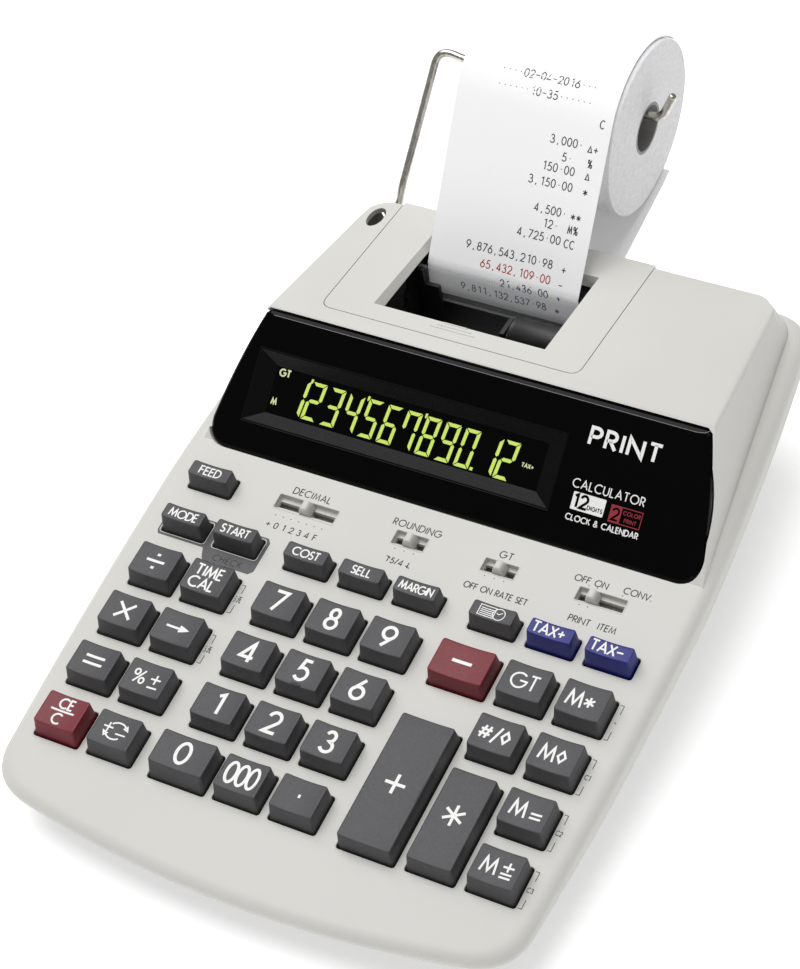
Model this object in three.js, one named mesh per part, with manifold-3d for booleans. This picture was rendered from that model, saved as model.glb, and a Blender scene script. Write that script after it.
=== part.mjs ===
// A printing desk calculator: a light two-part case with a black display panel, thirty-eight keys,
// four slide switches, a small printer under a lift-off cover, and a paper roll on a wire holder.
// Millimetres. X runs to the right, Y to the back and Z up; the origin is on the desk, under the
// middle of the whole object.
import * as THREE from 'three';
import { mergeVertices } from 'three/addons/utils/BufferGeometryUtils.js';
import { ConvexGeometry } from 'three/addons/geometries/ConvexGeometry.js';
import Module from 'manifold-3d';

const wasm = await Module();
wasm.setup();

// Overall layout. The deck is the tilted plane that carries the keys: deck coordinates are x, u (up the
// slope, zero at the middle number row) and n (off the deck).
const GAP = 0.3;
const TILT = THREE.MathUtils.degToRad(8.4);
const DECK_HEIGHT = 31.5;
const WALL = 2.5;

// Case outline on the deck plane.
const CASE_HALF_WIDTH = 97.5;
const LEFT_SPREAD = 1.028;
const WIDEST_U = 60;
const FRONT_U = -78;
const REAR_U = 189;
const FRONT_BOW = 800;
const RIM_DROP = 8;
const EDGE_ROUND = 3.2;
const CORNER_FRONT = 17;
const CORNER_REAR = 14;
const STRIP_DROP = 12.5;

// Housing: u and n of its profile, and its side walls, which lean in towards the top and the back.
const PANEL_FOOT = [76.1, 0];
const ROOF_FRONT = [118.8, 27];
const ROOF_REAR = [183, 13.5];
const SIDE_AT_ORIGIN = 104;
const SIDE_PER_U = 0.13;
const SIDE_PER_N = 0.19;

// Base.
const FOOT_HEIGHT = 3;
const FOOT_RADIUS = 6.5;
const FLOOR_INSET = 14;

// Keys.
const PITCH = 20.5;
const ROW = 20.7;
const KEY_SKIRT = 6;
const KEY_CLEARANCE = 0.5;
const NUMBER_X = -12.2;
const LEFT_X = NUMBER_X - 48;
const FUNCTION_X = NUMBER_X + 69.7;
const PLUS_X = NUMBER_X + 47.5;
const SMALL_ROW = 40.6;
const FEED_ROW = 59.4;

// Printer, in desk coordinates (Y, Z).
const BAY_LEFT = -52;
const BAY_RIGHT = 20;
const PLATEN = { y: 166, z: 58, r: 7, left: -49, right: 17 };
const INK = { y: 146, z: 57.5, r: 6.2, left: -8, right: 16 };
const TEAR = { y: 157.1, low: 53, high: 67.4 };
const SHAFT_RADIUS = 2;

// Paper.
const PAPER_LEFT = -46.9;
const PAPER_RIGHT = 11.5;
const PAPER_THICK = 0.3;
const ROLL = { y: 220.6, z: 96.8, r: 31.5, core: 8.4, width: 58.4, slope: THREE.MathUtils.degToRad(3.6) };
const TEAR_POINT = [159.3, 67.2];
const SLOT_POINT = [187, 55];

const material = (color, roughness, metalness = 0) =>
  new THREE.MeshStandardMaterial({ color, roughness, metalness });
const casing = material(0xd9d9d4, 0.55);
const darkPlastic = material(0x6f6f72, 0.6);
const keyGrey = material(0x4b4b4e, 0.5);
const keyRed = material(0x7d2232, 0.5);
const keyBlue = material(0x22257f, 0.5);
const gloss = material(0x050506, 0.08);
const blackPlastic = material(0x1b1b1d, 0.5);
const smoked = material(0x9a9a9a, 0.15);
const rubber = material(0x202022, 0.9);
const paper = material(0xf7f7f6, 0.9);
const chrome = material(0xc8c8c4, 0.15, 1);
const board = material(0x2d5a3a, 0.7);
const glass = material(0x101412, 0.1);

// Solids.
function positionOnly(geometry) {
  const clean = geometry.clone();
  clean.deleteAttribute('normal');
  clean.deleteAttribute('uv');
  return mergeVertices(clean, 1e-4);
}

function solid(geometry) {
  const merged = positionOnly(geometry);
  return new wasm.Manifold(new wasm.Mesh({
    numProp: 3,
    vertProperties: new Float32Array(merged.attributes.position.array),
    triVerts: new Uint32Array(merged.index.array),
  }));
}

function geometryOf(body) {
  const mesh = body.getMesh();
  const geometry = new THREE.BufferGeometry();
  geometry.setAttribute('position', new THREE.BufferAttribute(new Float32Array(mesh.vertProperties), 3));
  geometry.setIndex(new THREE.BufferAttribute(new Uint32Array(mesh.triVerts), 1));
  geometry.computeVertexNormals();
  return geometry;
}

function piece(name, shape, look, parent) {
  const geometry = shape.isBufferGeometry ? shape : geometryOf(shape);
  const mesh = new THREE.Mesh(geometry, look);
  mesh.name = name;
  parent.add(mesh);
  return mesh;
}

function box(x0, x1, y0, y1, z0, z1) {
  const geometry = new THREE.BoxGeometry(x1 - x0, y1 - y0, z1 - z0);
  return geometry.translate((x0 + x1) / 2, (y0 + y1) / 2, (z0 + z1) / 2);
}

function cylinderAlongX(x0, x1, y, z, radius, sides = 24) {
  const geometry = new THREE.CylinderGeometry(radius, radius, x1 - x0, sides);
  return geometry.rotateZ(Math.PI / 2).translate((x0 + x1) / 2, y, z);
}

// A closed skin through rings of points that all have the same count, capped at both ends.
function loft(rings) {
  const count = rings[0].length;
  const positions = rings.flat().flatMap((p) => [p.x, p.y, p.z]);
  const index = [];
  for (let r = 0; r + 1 < rings.length; r += 1) {
    for (let i = 0; i < count; i += 1) {
      const a = r * count + i;
      const b = r * count + ((i + 1) % count);
      index.push(a, b, b + count, a, b + count, a + count);
    }
  }
  const flat = (ring) => ring.map((p) => new THREE.Vector2(p.x, p.y));
  const last = (rings.length - 1) * count;
  for (const [a, b, c] of THREE.ShapeUtils.triangulateShape(flat(rings[0]), [])) {
    index.push(a, c, b);
  }
  for (const [a, b, c] of THREE.ShapeUtils.triangulateShape(flat(rings.at(-1)), [])) {
    index.push(last + a, last + b, last + c);
  }
  const geometry = new THREE.BufferGeometry();
  geometry.setAttribute('position', new THREE.BufferAttribute(new Float32Array(positions), 3));
  geometry.setIndex(index);
  geometry.computeVertexNormals();
  return geometry;
}

function rectangle(width, depth, corner, x = 0, y = 0) {
  const w = width / 2;
  const d = depth / 2;
  return [
    [w - corner, -d], [w, -d + corner], [w, d - corner], [w - corner, d],
    [-w + corner, d], [-w, d - corner], [-w, -d + corner], [-w + corner, -d],
  ].map(([px, py]) => new THREE.Vector2(x + px, y + py));
}

const prism = (points, depth) =>
  new THREE.ExtrudeGeometry(new THREE.Shape(points), { depth, bevelEnabled: false });

// The case outline, symmetrical about x = 0: a bowed front, rounded corners and barrelled sides.
function caseOutline(inset, rearInset = inset, rearPinch = 0) {
  const half = (u) => {
    const rise = Math.abs(u - WIDEST_U) / 120;
    const fall = u > WIDEST_U ? 10.5 * rise ** 1.6 : 3.3 * rise ** 2;
    return CASE_HALF_WIDTH - fall - inset - (u > 120 ? rearPinch * (u - 120) / 60 : 0);
  };
  const front = (x) => FRONT_U + inset + x * x / FRONT_BOW;
  const rear = REAR_U - rearInset;
  const sideStart = front(0) + 9 + CORNER_FRONT;
  const frontEnd = half(sideStart) - CORNER_FRONT;
  const sideEnd = rear - CORNER_REAR;
  const shape = new THREE.Shape();
  shape.moveTo(-frontEnd, front(frontEnd));
  shape.quadraticCurveTo(0, 2 * front(0) - front(frontEnd), frontEnd, front(frontEnd));
  shape.quadraticCurveTo(half(sideStart), front(frontEnd) + 3, half(sideStart), sideStart);
  const stops = [0, 50, 95, 130];
  for (const u of stops) {
    shape.lineTo(half(u), u);
  }
  shape.lineTo(half(sideEnd), sideEnd);
  shape.quadraticCurveTo(half(rear), rear, half(rear) - CORNER_REAR, rear);
  shape.lineTo(-half(rear) + CORNER_REAR, rear);
  shape.quadraticCurveTo(-half(rear), rear, -half(sideEnd), sideEnd);
  for (const u of stops.toReversed()) {
    shape.lineTo(-half(u), u);
  }
  shape.lineTo(-half(sideStart), sideStart);
  shape.quadraticCurveTo(-half(sideStart), front(frontEnd) + 3, -frontEnd, front(frontEnd));
  const points = shape.getPoints(6);
  const spread = (p) => new THREE.Vector2(p.x < 0 ? p.x * LEFT_SPREAD : p.x, p.y);
  return points.slice(0, -1).map(spread);
}

// Key table: width, depth and height of each class, and how far its top is shrunk and set back.
const KEY_CLASSES = {
  normal: { base: [17, 14.1], top: [15.5, 12.3], height: 6.6, back: 1 },
  small: { base: [16.8, 7.9], top: [15.5, 5.9], height: 6.7, back: 0.8 },
  wide: { base: [21, 15], top: [20.2, 12.5], height: 7, back: 1.3 },
  minus: { base: [20.5, 13.7], top: [19.5, 11.2], height: 6.5, back: 0.5 },
  plus: { base: [20.2, 48.6], top: [18.8, 47], height: 6.5, back: 0 },
  total: { base: [17, 35.4], top: [15.8, 34.2], height: 6.2, back: 1 },
};

const KEYS = [];
const addKey = (name, kind, x, u, look = keyGrey) => KEYS.push({ name, kind, x, u, look });
for (let digit = 1; digit <= 9; digit += 1) {
  const column = (digit - 1) % 3 - 1;
  const row = Math.floor((digit - 1) / 3) - 1;
  addKey(`key_${digit}`, 'normal', NUMBER_X + column * PITCH, row * ROW);
}
addKey('key_0', 'wide', NUMBER_X - 22.1, -2 * ROW);
addKey('key_000', 'normal', NUMBER_X, -2 * ROW);
addKey('key_point', 'normal', NUMBER_X + PITCH, -2 * ROW);
addKey('key_cost', 'small', NUMBER_X - PITCH, SMALL_ROW);
addKey('key_sell', 'small', NUMBER_X + 0.5, SMALL_ROW);
addKey('key_margin', 'small', NUMBER_X + PITCH + 0.5, SMALL_ROW);
addKey('key_arrow', 'normal', LEFT_X, 0);
addKey('key_time_calendar', 'normal', LEFT_X, ROW);
addKey('key_percent', 'normal', LEFT_X, -ROW);
addKey('key_sign_swap', 'normal', LEFT_X, -2 * ROW);
addKey('key_start', 'small', LEFT_X, SMALL_ROW);
addKey('key_divide', 'normal', LEFT_X - PITCH, ROW);
addKey('key_times', 'normal', LEFT_X - PITCH, 0);
addKey('key_equals', 'normal', LEFT_X - PITCH, -ROW);
addKey('key_clear', 'normal', LEFT_X - PITCH, -2 * ROW, keyRed);
addKey('key_mode', 'small', LEFT_X - PITCH, SMALL_ROW);
addKey('key_feed', 'small', LEFT_X - PITCH, FEED_ROW);
addKey('key_minus', 'minus', PLUS_X, 20.1, keyRed);
addKey('key_plus', 'plus', PLUS_X, -25.2);
addKey('key_clock', 'small', PLUS_X + 1.4, SMALL_ROW);
addKey('key_tax_plus', 'small', FUNCTION_X, SMALL_ROW, keyBlue);
addKey('key_tax_minus', 'small', FUNCTION_X + PITCH, SMALL_ROW, keyBlue);
addKey('key_grand_total', 'normal', FUNCTION_X, ROW);
addKey('key_subtotal', 'normal', FUNCTION_X, 0);
addKey('key_total', 'total', FUNCTION_X, -31.2);
addKey('key_memory_total', 'normal', FUNCTION_X + PITCH, ROW);
addKey('key_memory_subtotal', 'normal', FUNCTION_X + PITCH, 0);
addKey('key_memory_minus', 'normal', FUNCTION_X + PITCH, -ROW);
addKey('key_memory_plus', 'normal', FUNCTION_X + PITCH, -2 * ROW);

function keySolid({ kind, x, u }) {
  const { base, top, height, back } = KEY_CLASSES[kind];
  const ring = (size, n, shift, corner) =>
    rectangle(size[0], size[1], corner, x, u + shift).map((p) => new THREE.Vector3(p.x, p.y, n));
  const crown = top.map((length) => length - 1);
  return loft([
    ring(base, -KEY_SKIRT, 0, 1),
    ring(base, 0, 0, 1),
    ring(top, height - 0.8, back, 1),
    ring(crown, height, back, 0.8),
  ]);
}

// Slide switches: x of the slot and of the knob at rest, length and width of the slot.
const SWITCH_U = 60.9;
const SWITCHES = [
  { name: 'knob_decimal', x: NUMBER_X - 32.6, rest: 0, length: 23.2, width: 5.9 },
  { name: 'knob_rounding', x: NUMBER_X + 7.2, rest: 0, length: 12.2, width: 5.7 },
  { name: 'knob_grand_total', x: NUMBER_X + 40.6, rest: 0, length: 12.4, width: 5.4 },
  { name: 'knob_print', x: NUMBER_X + 77.2, rest: -3, length: 17.3, width: 5.4 },
];
const KNOB_WIDTH = 4;
const POCKET_DEPTH = 2.2;
const POCKET_FLOOR = 3.8;
const STEM_SLOT = 2.4;
const KNOB_TOP = 2.6;

function knobSolid({ x, rest, width }) {
  const cap = width / 2 - 0.4;
  const stem = STEM_SLOT / 2 - GAP;
  const profile = [
    [-stem, -6], [stem, -6], [stem, -POCKET_DEPTH + GAP], [cap, -POCKET_DEPTH + GAP],
    [cap - 0.6, KNOB_TOP], [-cap + 0.6, KNOB_TOP], [-cap, -POCKET_DEPTH + GAP], [-stem, -POCKET_DEPTH + GAP],
  ].map(([u, n]) => new THREE.Vector2(u, n));
  const bar = prism(profile, KNOB_WIDTH);
  bar.translate(0, 0, -KNOB_WIDTH / 2);
  bar.applyMatrix4(new THREE.Matrix4().set(0, 0, 1, 0, 1, 0, 0, 0, 0, 1, 0, 0, 0, 0, 0, 1));
  return bar.translate(x + rest, SWITCH_U, 0);
}

// Housing: the convex hull of its profile at both leaning sides. The inset version is the hollow.
const sideAt = (u, n) => SIDE_AT_ORIGIN - SIDE_PER_U * u - SIDE_PER_N * n;

function housing(inset) {
  const slope = (ROOF_FRONT[1] - PANEL_FOOT[1]) / (ROOF_FRONT[0] - PANEL_FOOT[0]);
  const fall = (ROOF_REAR[1] - ROOF_FRONT[1]) / (ROOF_REAR[0] - ROOF_FRONT[0]);
  const back = (REAR_U - ROOF_REAR[0]) / (ROOF_REAR[1] + RIM_DROP);
  const low = -RIM_DROP - 6;
  const panelU = (n) => PANEL_FOOT[0] + n / slope + inset * Math.hypot(1, 1 / slope);
  const roofN = (u) => ROOF_FRONT[1] + (u - ROOF_FRONT[0]) * fall - inset;
  const rearU = (n) => ROOF_REAR[0] + (ROOF_REAR[1] - n) * back - inset;
  const frontTop = ROOF_FRONT[1] - inset * (1 + fall * Math.hypot(1, 1 / slope));
  const profile = [
    [panelU(low), low],
    [panelU(frontTop), frontTop],
    [rearU(roofN(ROOF_REAR[0] - inset)), roofN(ROOF_REAR[0] - inset)],
    [rearU(low), low],
  ];
  const points = profile.flatMap(([u, n]) => {
    const half = sideAt(u, n) - inset;
    return [new THREE.Vector3(half, u, n), new THREE.Vector3(-half, u, n)];
  });
  const plan = prism(caseOutline(1 + inset), 80).translate(0, 0, -40);
  return solid(new ConvexGeometry(points)).intersect(solid(plan));
}

// Frames that lean with the panel and the roof, as children of the deck.
const PANEL_ANGLE = Math.atan2(ROOF_FRONT[1] - PANEL_FOOT[1], ROOF_FRONT[0] - PANEL_FOOT[0]);
const PANEL_LENGTH = Math.hypot(ROOF_FRONT[1] - PANEL_FOOT[1], ROOF_FRONT[0] - PANEL_FOOT[0]);
const panelFrame = new THREE.Matrix4().makeRotationX(PANEL_ANGLE)
  .setPosition(0, PANEL_FOOT[0], PANEL_FOOT[1]);
const ROOF_ANGLE = Math.atan2(ROOF_REAR[1] - ROOF_FRONT[1], ROOF_REAR[0] - ROOF_FRONT[0]);
const roofFrame = new THREE.Matrix4().makeRotationX(ROOF_ANGLE)
  .setPosition(0, ROOF_FRONT[0], ROOF_FRONT[1]);

// Black panel outline: x and v, v running up the panel from the deck.
function panelShape(grow) {
  const shape = new THREE.Shape();
  const top = PANEL_LENGTH - 0.9 + grow;
  shape.moveTo(-84 - grow, -grow);
  shape.lineTo(84 + grow, -grow);
  shape.quadraticCurveTo(91.6 + grow, 0.5 - grow, 91.6 + grow, 9);
  shape.quadraticCurveTo(88 + grow, 30, 82.4 + grow, top - 1.5);
  shape.lineTo(80.9 + grow, top);
  shape.lineTo(-80.9 - grow, top);
  shape.lineTo(-82.4 - grow, top - 1.5);
  shape.quadraticCurveTo(-88 - grow, 30, -91.6 - grow, 9);
  shape.quadraticCurveTo(-91.6 - grow, 0.5 - grow, -84 - grow, -grow);
  return shape;
}

const PANEL_THICK = 3;
const WINDOW = { left: -78, right: 33, low: 13.5, high: 34 };
const COVER = { left: -66.5, right: 31.2, front: 5.8, thick: 2.8 };
const OPENING = { left: -50, right: 17, front: 13.4, rear: 58 };
const ROOF_LENGTH = Math.hypot(ROOF_REAR[0] - ROOF_FRONT[0], ROOF_REAR[1] - ROOF_FRONT[1]);

function coverShape(grow) {
  const left = COVER.left - grow;
  const right = COVER.right + grow;
  const front = COVER.front - grow;
  const corner = 4 + grow;
  const shape = new THREE.Shape();
  shape.moveTo(left + corner, front);
  shape.lineTo(right - corner, front);
  shape.quadraticCurveTo(right, front, right, front + corner);
  shape.lineTo(right, ROOF_LENGTH + 30 * grow);
  shape.lineTo(left, ROOF_LENGTH + 30 * grow);
  shape.lineTo(left, front + corner);
  shape.quadraticCurveTo(left, front, left + corner, front);
  return shape;
}

const extrude = (shape, from, to, curveSegments = 4) =>
  new THREE.ExtrudeGeometry(shape, { depth: to - from, bevelEnabled: false, curveSegments })
    .translate(0, 0, from);

// Scene graph: everything stands on the machine group; the deck group leans with the keyboard.
const calculator = new THREE.Group();
const machine = new THREE.Group();
const deck = new THREE.Group();
deck.rotation.x = TILT;
deck.position.z = DECK_HEIGHT;
machine.add(deck);
calculator.add(machine);
deck.updateMatrix();
const toDeck = deck.matrix.clone().invert();
const toMachine = deck.matrix.clone();

// Upper case shell.
const slab = new THREE.ExtrudeGeometry(new THREE.Shape(caseOutline(EDGE_ROUND)), {
  depth: 20, bevelThickness: EDGE_ROUND, bevelSize: EDGE_ROUND, bevelSegments: 3,
}).translate(0, 0, -20 - EDGE_ROUND);
const slabHollow = prism(caseOutline(WALL), 30).translate(0, 0, -30 - WALL);
let topCase = solid(slab).add(housing(0));
topCase = topCase.subtract(solid(slabHollow).add(housing(WALL)));
topCase = topCase.subtract(solid(box(-150, 150, -120, 250, -60, -RIM_DROP)));
for (const { x, length, width } of SWITCHES) {
  const boss = box(x - length / 2 - 2, x + length / 2 + 2, SWITCH_U - width / 2 - 2,
    SWITCH_U + width / 2 + 2, -POCKET_FLOOR, -1);
  topCase = topCase.add(solid(boss));
}
for (const { x, length, width } of SWITCHES) {
  const pocket = box(x - length / 2, x + length / 2, SWITCH_U - width / 2, SWITCH_U + width / 2,
    -POCKET_DEPTH, 5);
  const slot = box(x - length / 2 + GAP, x + length / 2 - GAP, SWITCH_U - STEM_SLOT / 2,
    SWITCH_U + STEM_SLOT / 2, -10, 1);
  topCase = topCase.subtract(solid(pocket)).subtract(solid(slot));
}
for (const { kind, x, u } of KEYS) {
  const [width, depth] = KEY_CLASSES[kind].base.map((length) => length + 2 * KEY_CLEARANCE);
  topCase = topCase.subtract(solid(prism(rectangle(width, depth, 1.2, x, u), 20).translate(0, 0, -10)));
}
const panelCut = extrude(panelShape(GAP), -9, 6).applyMatrix4(panelFrame);
const coverCut = extrude(coverShape(GAP), -COVER.thick - GAP, 6).applyMatrix4(roofFrame);
const webSlot = box(-49, 18, 180, 200, 52.2, 57.4).applyMatrix4(toDeck);
const HOLDER_X = -75.5;
const HOLDER_BEND_X = -69;
const SOCKET_Z = 60;
const socketHole = new THREE.CylinderGeometry(1.9, 1.9, 30, 16).translate(HOLDER_X, 185, SOCKET_Z)
  .applyMatrix4(toDeck);
const gripHole = new THREE.CylinderGeometry(2.6, 2.6, 12, 16).rotateX(Math.PI / 2);
gripHole.scale(1, 1.9, 1).translate(-75, 177.5, 14);
topCase = topCase.subtract(solid(panelCut)).subtract(solid(coverCut)).subtract(solid(webSlot));
topCase = topCase.subtract(solid(socketHole)).subtract(solid(gripHole));
piece('top_case', topCase, casing, deck);

// Display panel, its glass module, and the printer cover.
const panelOutline = panelShape(0);
panelOutline.holes.push(new THREE.Path([
  new THREE.Vector2(WINDOW.left, WINDOW.low), new THREE.Vector2(WINDOW.left, WINDOW.high),
  new THREE.Vector2(WINDOW.right, WINDOW.high), new THREE.Vector2(WINDOW.right, WINDOW.low),
]));
piece('display_window', extrude(panelOutline, -PANEL_THICK, 0).applyMatrix4(panelFrame), gloss, deck);
const moduleBox = box(WINDOW.left - 5, WINDOW.right + 5, WINDOW.low - 4, WINDOW.high + 4,
  -PANEL_THICK - GAP - 7, -PANEL_THICK - GAP);
piece('display_module', moduleBox.applyMatrix4(panelFrame), glass, deck);
const coverOutline = coverShape(0);
coverOutline.holes.push(new THREE.Path([
  new THREE.Vector2(OPENING.left, OPENING.front), new THREE.Vector2(OPENING.left, OPENING.rear),
  new THREE.Vector2(OPENING.right, OPENING.rear), new THREE.Vector2(OPENING.right, OPENING.front),
]));
piece('printer_cover', extrude(coverOutline, -COVER.thick, 0).applyMatrix4(roofFrame), casing, deck);

// Keys and slide switch knobs.
for (const key of KEYS) {
  piece(key.name, keySolid(key), key.look, deck);
}
for (const slide of SWITCHES) {
  piece(slide.name, knobSolid(slide), casing, deck);
}

// Circuit board under the keys.
piece('circuit_board', box(-82, 82, -62, 68, -13.4, -11.8), board, deck);

// Lower case: a tray that starts flush under the upper case and leans in down to a flat floor.
function trayRings(inset, floorZ, lift) {
  const place = (points, n) => points.map((p) => new THREE.Vector3(p.x, p.y, n).applyMatrix4(toMachine));
  const floor = caseOutline(FLOOR_INSET + inset, FLOOR_INSET + 6 + inset, 10)
    .map((p) => new THREE.Vector3(p.x, p.y * Math.cos(TILT), floorZ));
  return [
    floor,
    place(caseOutline(0.5 + inset, 1 + inset, 8), -STRIP_DROP),
    place(caseOutline(0.3 + inset, 0.6 + inset, 8), -RIM_DROP - GAP + lift),
  ];
}
let bottomCase = solid(loft(trayRings(0, FOOT_HEIGHT, 0)));
bottomCase = bottomCase.subtract(solid(loft(trayRings(WALL, FOOT_HEIGHT + WALL, 5))));
const JACK = { x: 60, z: 24, r: 5, bore: 3.2 };
const jackCut = new THREE.CylinderGeometry(JACK.r + GAP, JACK.r + GAP, 40, 16)
  .translate(JACK.x, 176, JACK.z);
bottomCase = bottomCase.subtract(solid(jackCut));
piece('bottom_case', bottomCase, darkPlastic, machine);

// Four rubber feet.
for (const [side, x] of [['left', -66], ['right', 66]]) {
  for (const [end, y] of [['front', -48], ['rear', 138]]) {
    const foot = new THREE.CylinderGeometry(FOOT_RADIUS, FOOT_RADIUS, FOOT_HEIGHT - GAP, 20)
      .rotateX(Math.PI / 2).translate(x, y, (FOOT_HEIGHT - GAP) / 2);
    piece(`foot_${end}_${side}`, foot, rubber, machine);
  }
}

// Adapter socket in the rear wall: a short tube, open to the back.
const jackProfile = [[JACK.bore, -6], [JACK.r, -6], [JACK.r, 6], [JACK.bore, 6], [JACK.bore, -6]]
  .map(([r, y]) => new THREE.Vector2(r, y));
piece('power_jack', new THREE.LatheGeometry(jackProfile, 16).translate(JACK.x, 166, JACK.z),
  blackPlastic, machine);

// Printer: frame, platen, ink roller and tear bar.
let frame = solid(box(BAY_LEFT, BAY_RIGHT, 134, 176, 38, 40));
const wallProfile = [[134, 38], [176, 38], [176, 62], [161, 68], [154, 68], [150, 60], [134, 56]]
  .map(([y, z]) => new THREE.Vector2(y, z));
for (const x of [BAY_LEFT, BAY_RIGHT - 2]) {
  const wall = prism(wallProfile, 2)
    .applyMatrix4(new THREE.Matrix4().set(0, 0, 1, 0, 1, 0, 0, 0, 0, 1, 0, 0, 0, 0, 0, 1));
  frame = frame.add(solid(wall.translate(x, 0, 0)));
}
frame = frame.add(solid(box(BAY_LEFT + 1, -46.5, 154.4, 156, 39, 67)));
frame = frame.add(solid(box(BAY_LEFT + 1, -41, 154.4, 156, 39, 61)));
frame = frame.add(solid(box(INK.left - 3, INK.left - 1.4, 142, 150, 39, 60)));
for (const [x0, x1] of [[BAY_LEFT + 2, BAY_LEFT + 8], [BAY_RIGHT - 8, BAY_RIGHT - 2]]) {
  for (const [y0, y1] of [[136, 142], [150, 156]]) {
    frame = frame.add(solid(box(x0, x1, y0, y1, FOOT_HEIGHT + WALL + GAP, 39)));
  }
}
for (const { y, z } of [PLATEN, INK]) {
  frame = frame.subtract(solid(cylinderAlongX(-70, 40, y, z, SHAFT_RADIUS + GAP, 16)));
}
piece('printer_frame', frame, blackPlastic, machine);

function roller({ y, z, r, left, right }, shaftLeft, shaftRight) {
  const drum = solid(cylinderAlongX(left, right, y, z, r, 24));
  return drum.add(solid(cylinderAlongX(shaftLeft, shaftRight, y, z, SHAFT_RADIUS, 12)));
}
piece('platen_roller', roller(PLATEN, BAY_LEFT, BAY_RIGHT), rubber, machine);
piece('ink_roller', roller(INK, INK.left - 3, BAY_RIGHT), rubber, machine);
piece('tear_bar', box(-49.4, 16.6, TEAR.y - 0.6, TEAR.y + 0.6, TEAR.low, TEAR.high), smoked, machine);

// Paper: a roll on the wire, and one strip that leaves the roll underneath, goes in through the slot at
// the back, round the platen and up past the tear bar, and lies over the front of the roll again.
const rollProfile = [
  [ROLL.core, -ROLL.width / 2], [ROLL.r, -ROLL.width / 2], [ROLL.r, ROLL.width / 2],
  [ROLL.core, ROLL.width / 2], [ROLL.core, -ROLL.width / 2],
].map(([r, y]) => new THREE.Vector2(r, y));
const roll = piece('paper_roll', new THREE.LatheGeometry(rollProfile, 48), paper, machine);
const ROLL_X = (PAPER_LEFT + PAPER_RIGHT) / 2;
roll.position.set(ROLL_X, ROLL.y, ROLL.z);
roll.rotation.z = -Math.PI / 2;
roll.rotation.order = 'YXZ';
roll.rotation.y = ROLL.slope;

function arc(cy, cz, radius, from, to, steps) {
  return Array.from({ length: steps + 1 }, (_, i) => {
    const angle = from + (to - from) * i / steps;
    return new THREE.Vector2(cy + radius * Math.cos(angle), cz + radius * Math.sin(angle));
  });
}

function stripPath(centreZ) {
  const radius = ROLL.r + 0.8;
  const tangent = ([y, z], sign) => {
    const reach = Math.hypot(ROLL.y - y, centreZ - z);
    const lean = Math.atan2(centreZ - z, ROLL.y - y) + sign * Math.asin(radius / reach);
    return lean + sign * Math.PI / 2;
  };
  const over = arc(ROLL.y, centreZ, radius, THREE.MathUtils.degToRad(38), tangent(TEAR_POINT, 1), 14);
  const round = arc(PLATEN.y, PLATEN.z, PLATEN.r + 0.6, Math.PI, 1.5 * Math.PI, 5);
  const under = arc(ROLL.y, centreZ, radius, tangent(SLOT_POINT, -1), THREE.MathUtils.degToRad(-66), 2);
  return [...over, new THREE.Vector2(...TEAR_POINT), ...round, new THREE.Vector2(...SLOT_POINT), ...under];
}

function thicken(path) {
  const offset = path.map((p, i) => {
    const before = path[Math.max(i - 1, 0)];
    const after = path[Math.min(i + 1, path.length - 1)];
    const along = after.clone().sub(before).normalize();
    return new THREE.Vector2(along.y, -along.x).multiplyScalar(PAPER_THICK / 2);
  });
  const outer = path.map((p, i) => p.clone().add(offset[i]));
  const inner = path.map((p, i) => p.clone().sub(offset[i]));
  return [...outer, ...inner.reverse()];
}

function stripSolid() {
  const drop = ROLL.width / 2 * Math.sin(ROLL.slope);
  const left = thicken(stripPath(ROLL.z + drop));
  const right = thicken(stripPath(ROLL.z - drop));
  const ring = (points, x) => points.map((p) => new THREE.Vector3(p.x, p.y, x));
  const swap = new THREE.Matrix4().set(0, 0, 1, 0, 1, 0, 0, 0, 0, 1, 0, 0, 0, 0, 0, 1);
  return loft([ring(left, PAPER_LEFT), ring(right, PAPER_RIGHT)]).applyMatrix4(swap);
}
piece('paper_strip', stripSolid(), paper, machine);

// Wire paper holder: from a socket in the rear wall, up and back, across through the roll, and a hook.
const WIRE_RADIUS = 1.5;
const WIRE_LIFT = 6.2;
const HOOK_X = PAPER_RIGHT + 5.5;
const HOOK_TOP = 112.4;
const wireZ = (x) => ROLL.z + WIRE_LIFT - (x - ROLL_X) * Math.tan(ROLL.slope);
const wireCorner = [
  [HOLDER_X, 172, SOCKET_Z], [HOLDER_X, 188.5, SOCKET_Z], [HOLDER_X + 0.6, 191.5, 66.6],
  [HOLDER_BEND_X, ROLL.y, wireZ(HOLDER_BEND_X)], [HOOK_X, ROLL.y, wireZ(HOOK_X)],
  [HOOK_X + 5.4, ROLL.y, HOOK_TOP],
].map(([x, y, z]) => new THREE.Vector3(x, y, z));
const BEND = [0, 3.5, 3, 6, 4, 0];

function wirePath() {
  const path = new THREE.CurvePath();
  let from = wireCorner[0];
  for (let i = 1; i + 1 < wireCorner.length; i += 1) {
    const corner = wireCorner[i];
    const start = corner.clone().add(wireCorner[i - 1].clone().sub(corner).setLength(BEND[i]));
    const end = corner.clone().add(wireCorner[i + 1].clone().sub(corner).setLength(BEND[i]));
    path.add(new THREE.LineCurve3(from, start));
    path.add(new THREE.QuadraticBezierCurve3(start, corner, end));
    from = end;
  }
  path.add(new THREE.LineCurve3(from, wireCorner.at(-1)));
  return path;
}
const wireSection = new THREE.Shape(Array.from({ length: 8 }, (_, i) => {
  const angle = Math.PI * (2 * i + 1) / 8;
  return new THREE.Vector2(WIRE_RADIUS * Math.cos(angle), WIRE_RADIUS * Math.sin(angle));
}));
piece('paper_holder', new THREE.ExtrudeGeometry(wireSection, { steps: 72, extrudePath: wirePath() }),
  chrome, machine);

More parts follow.
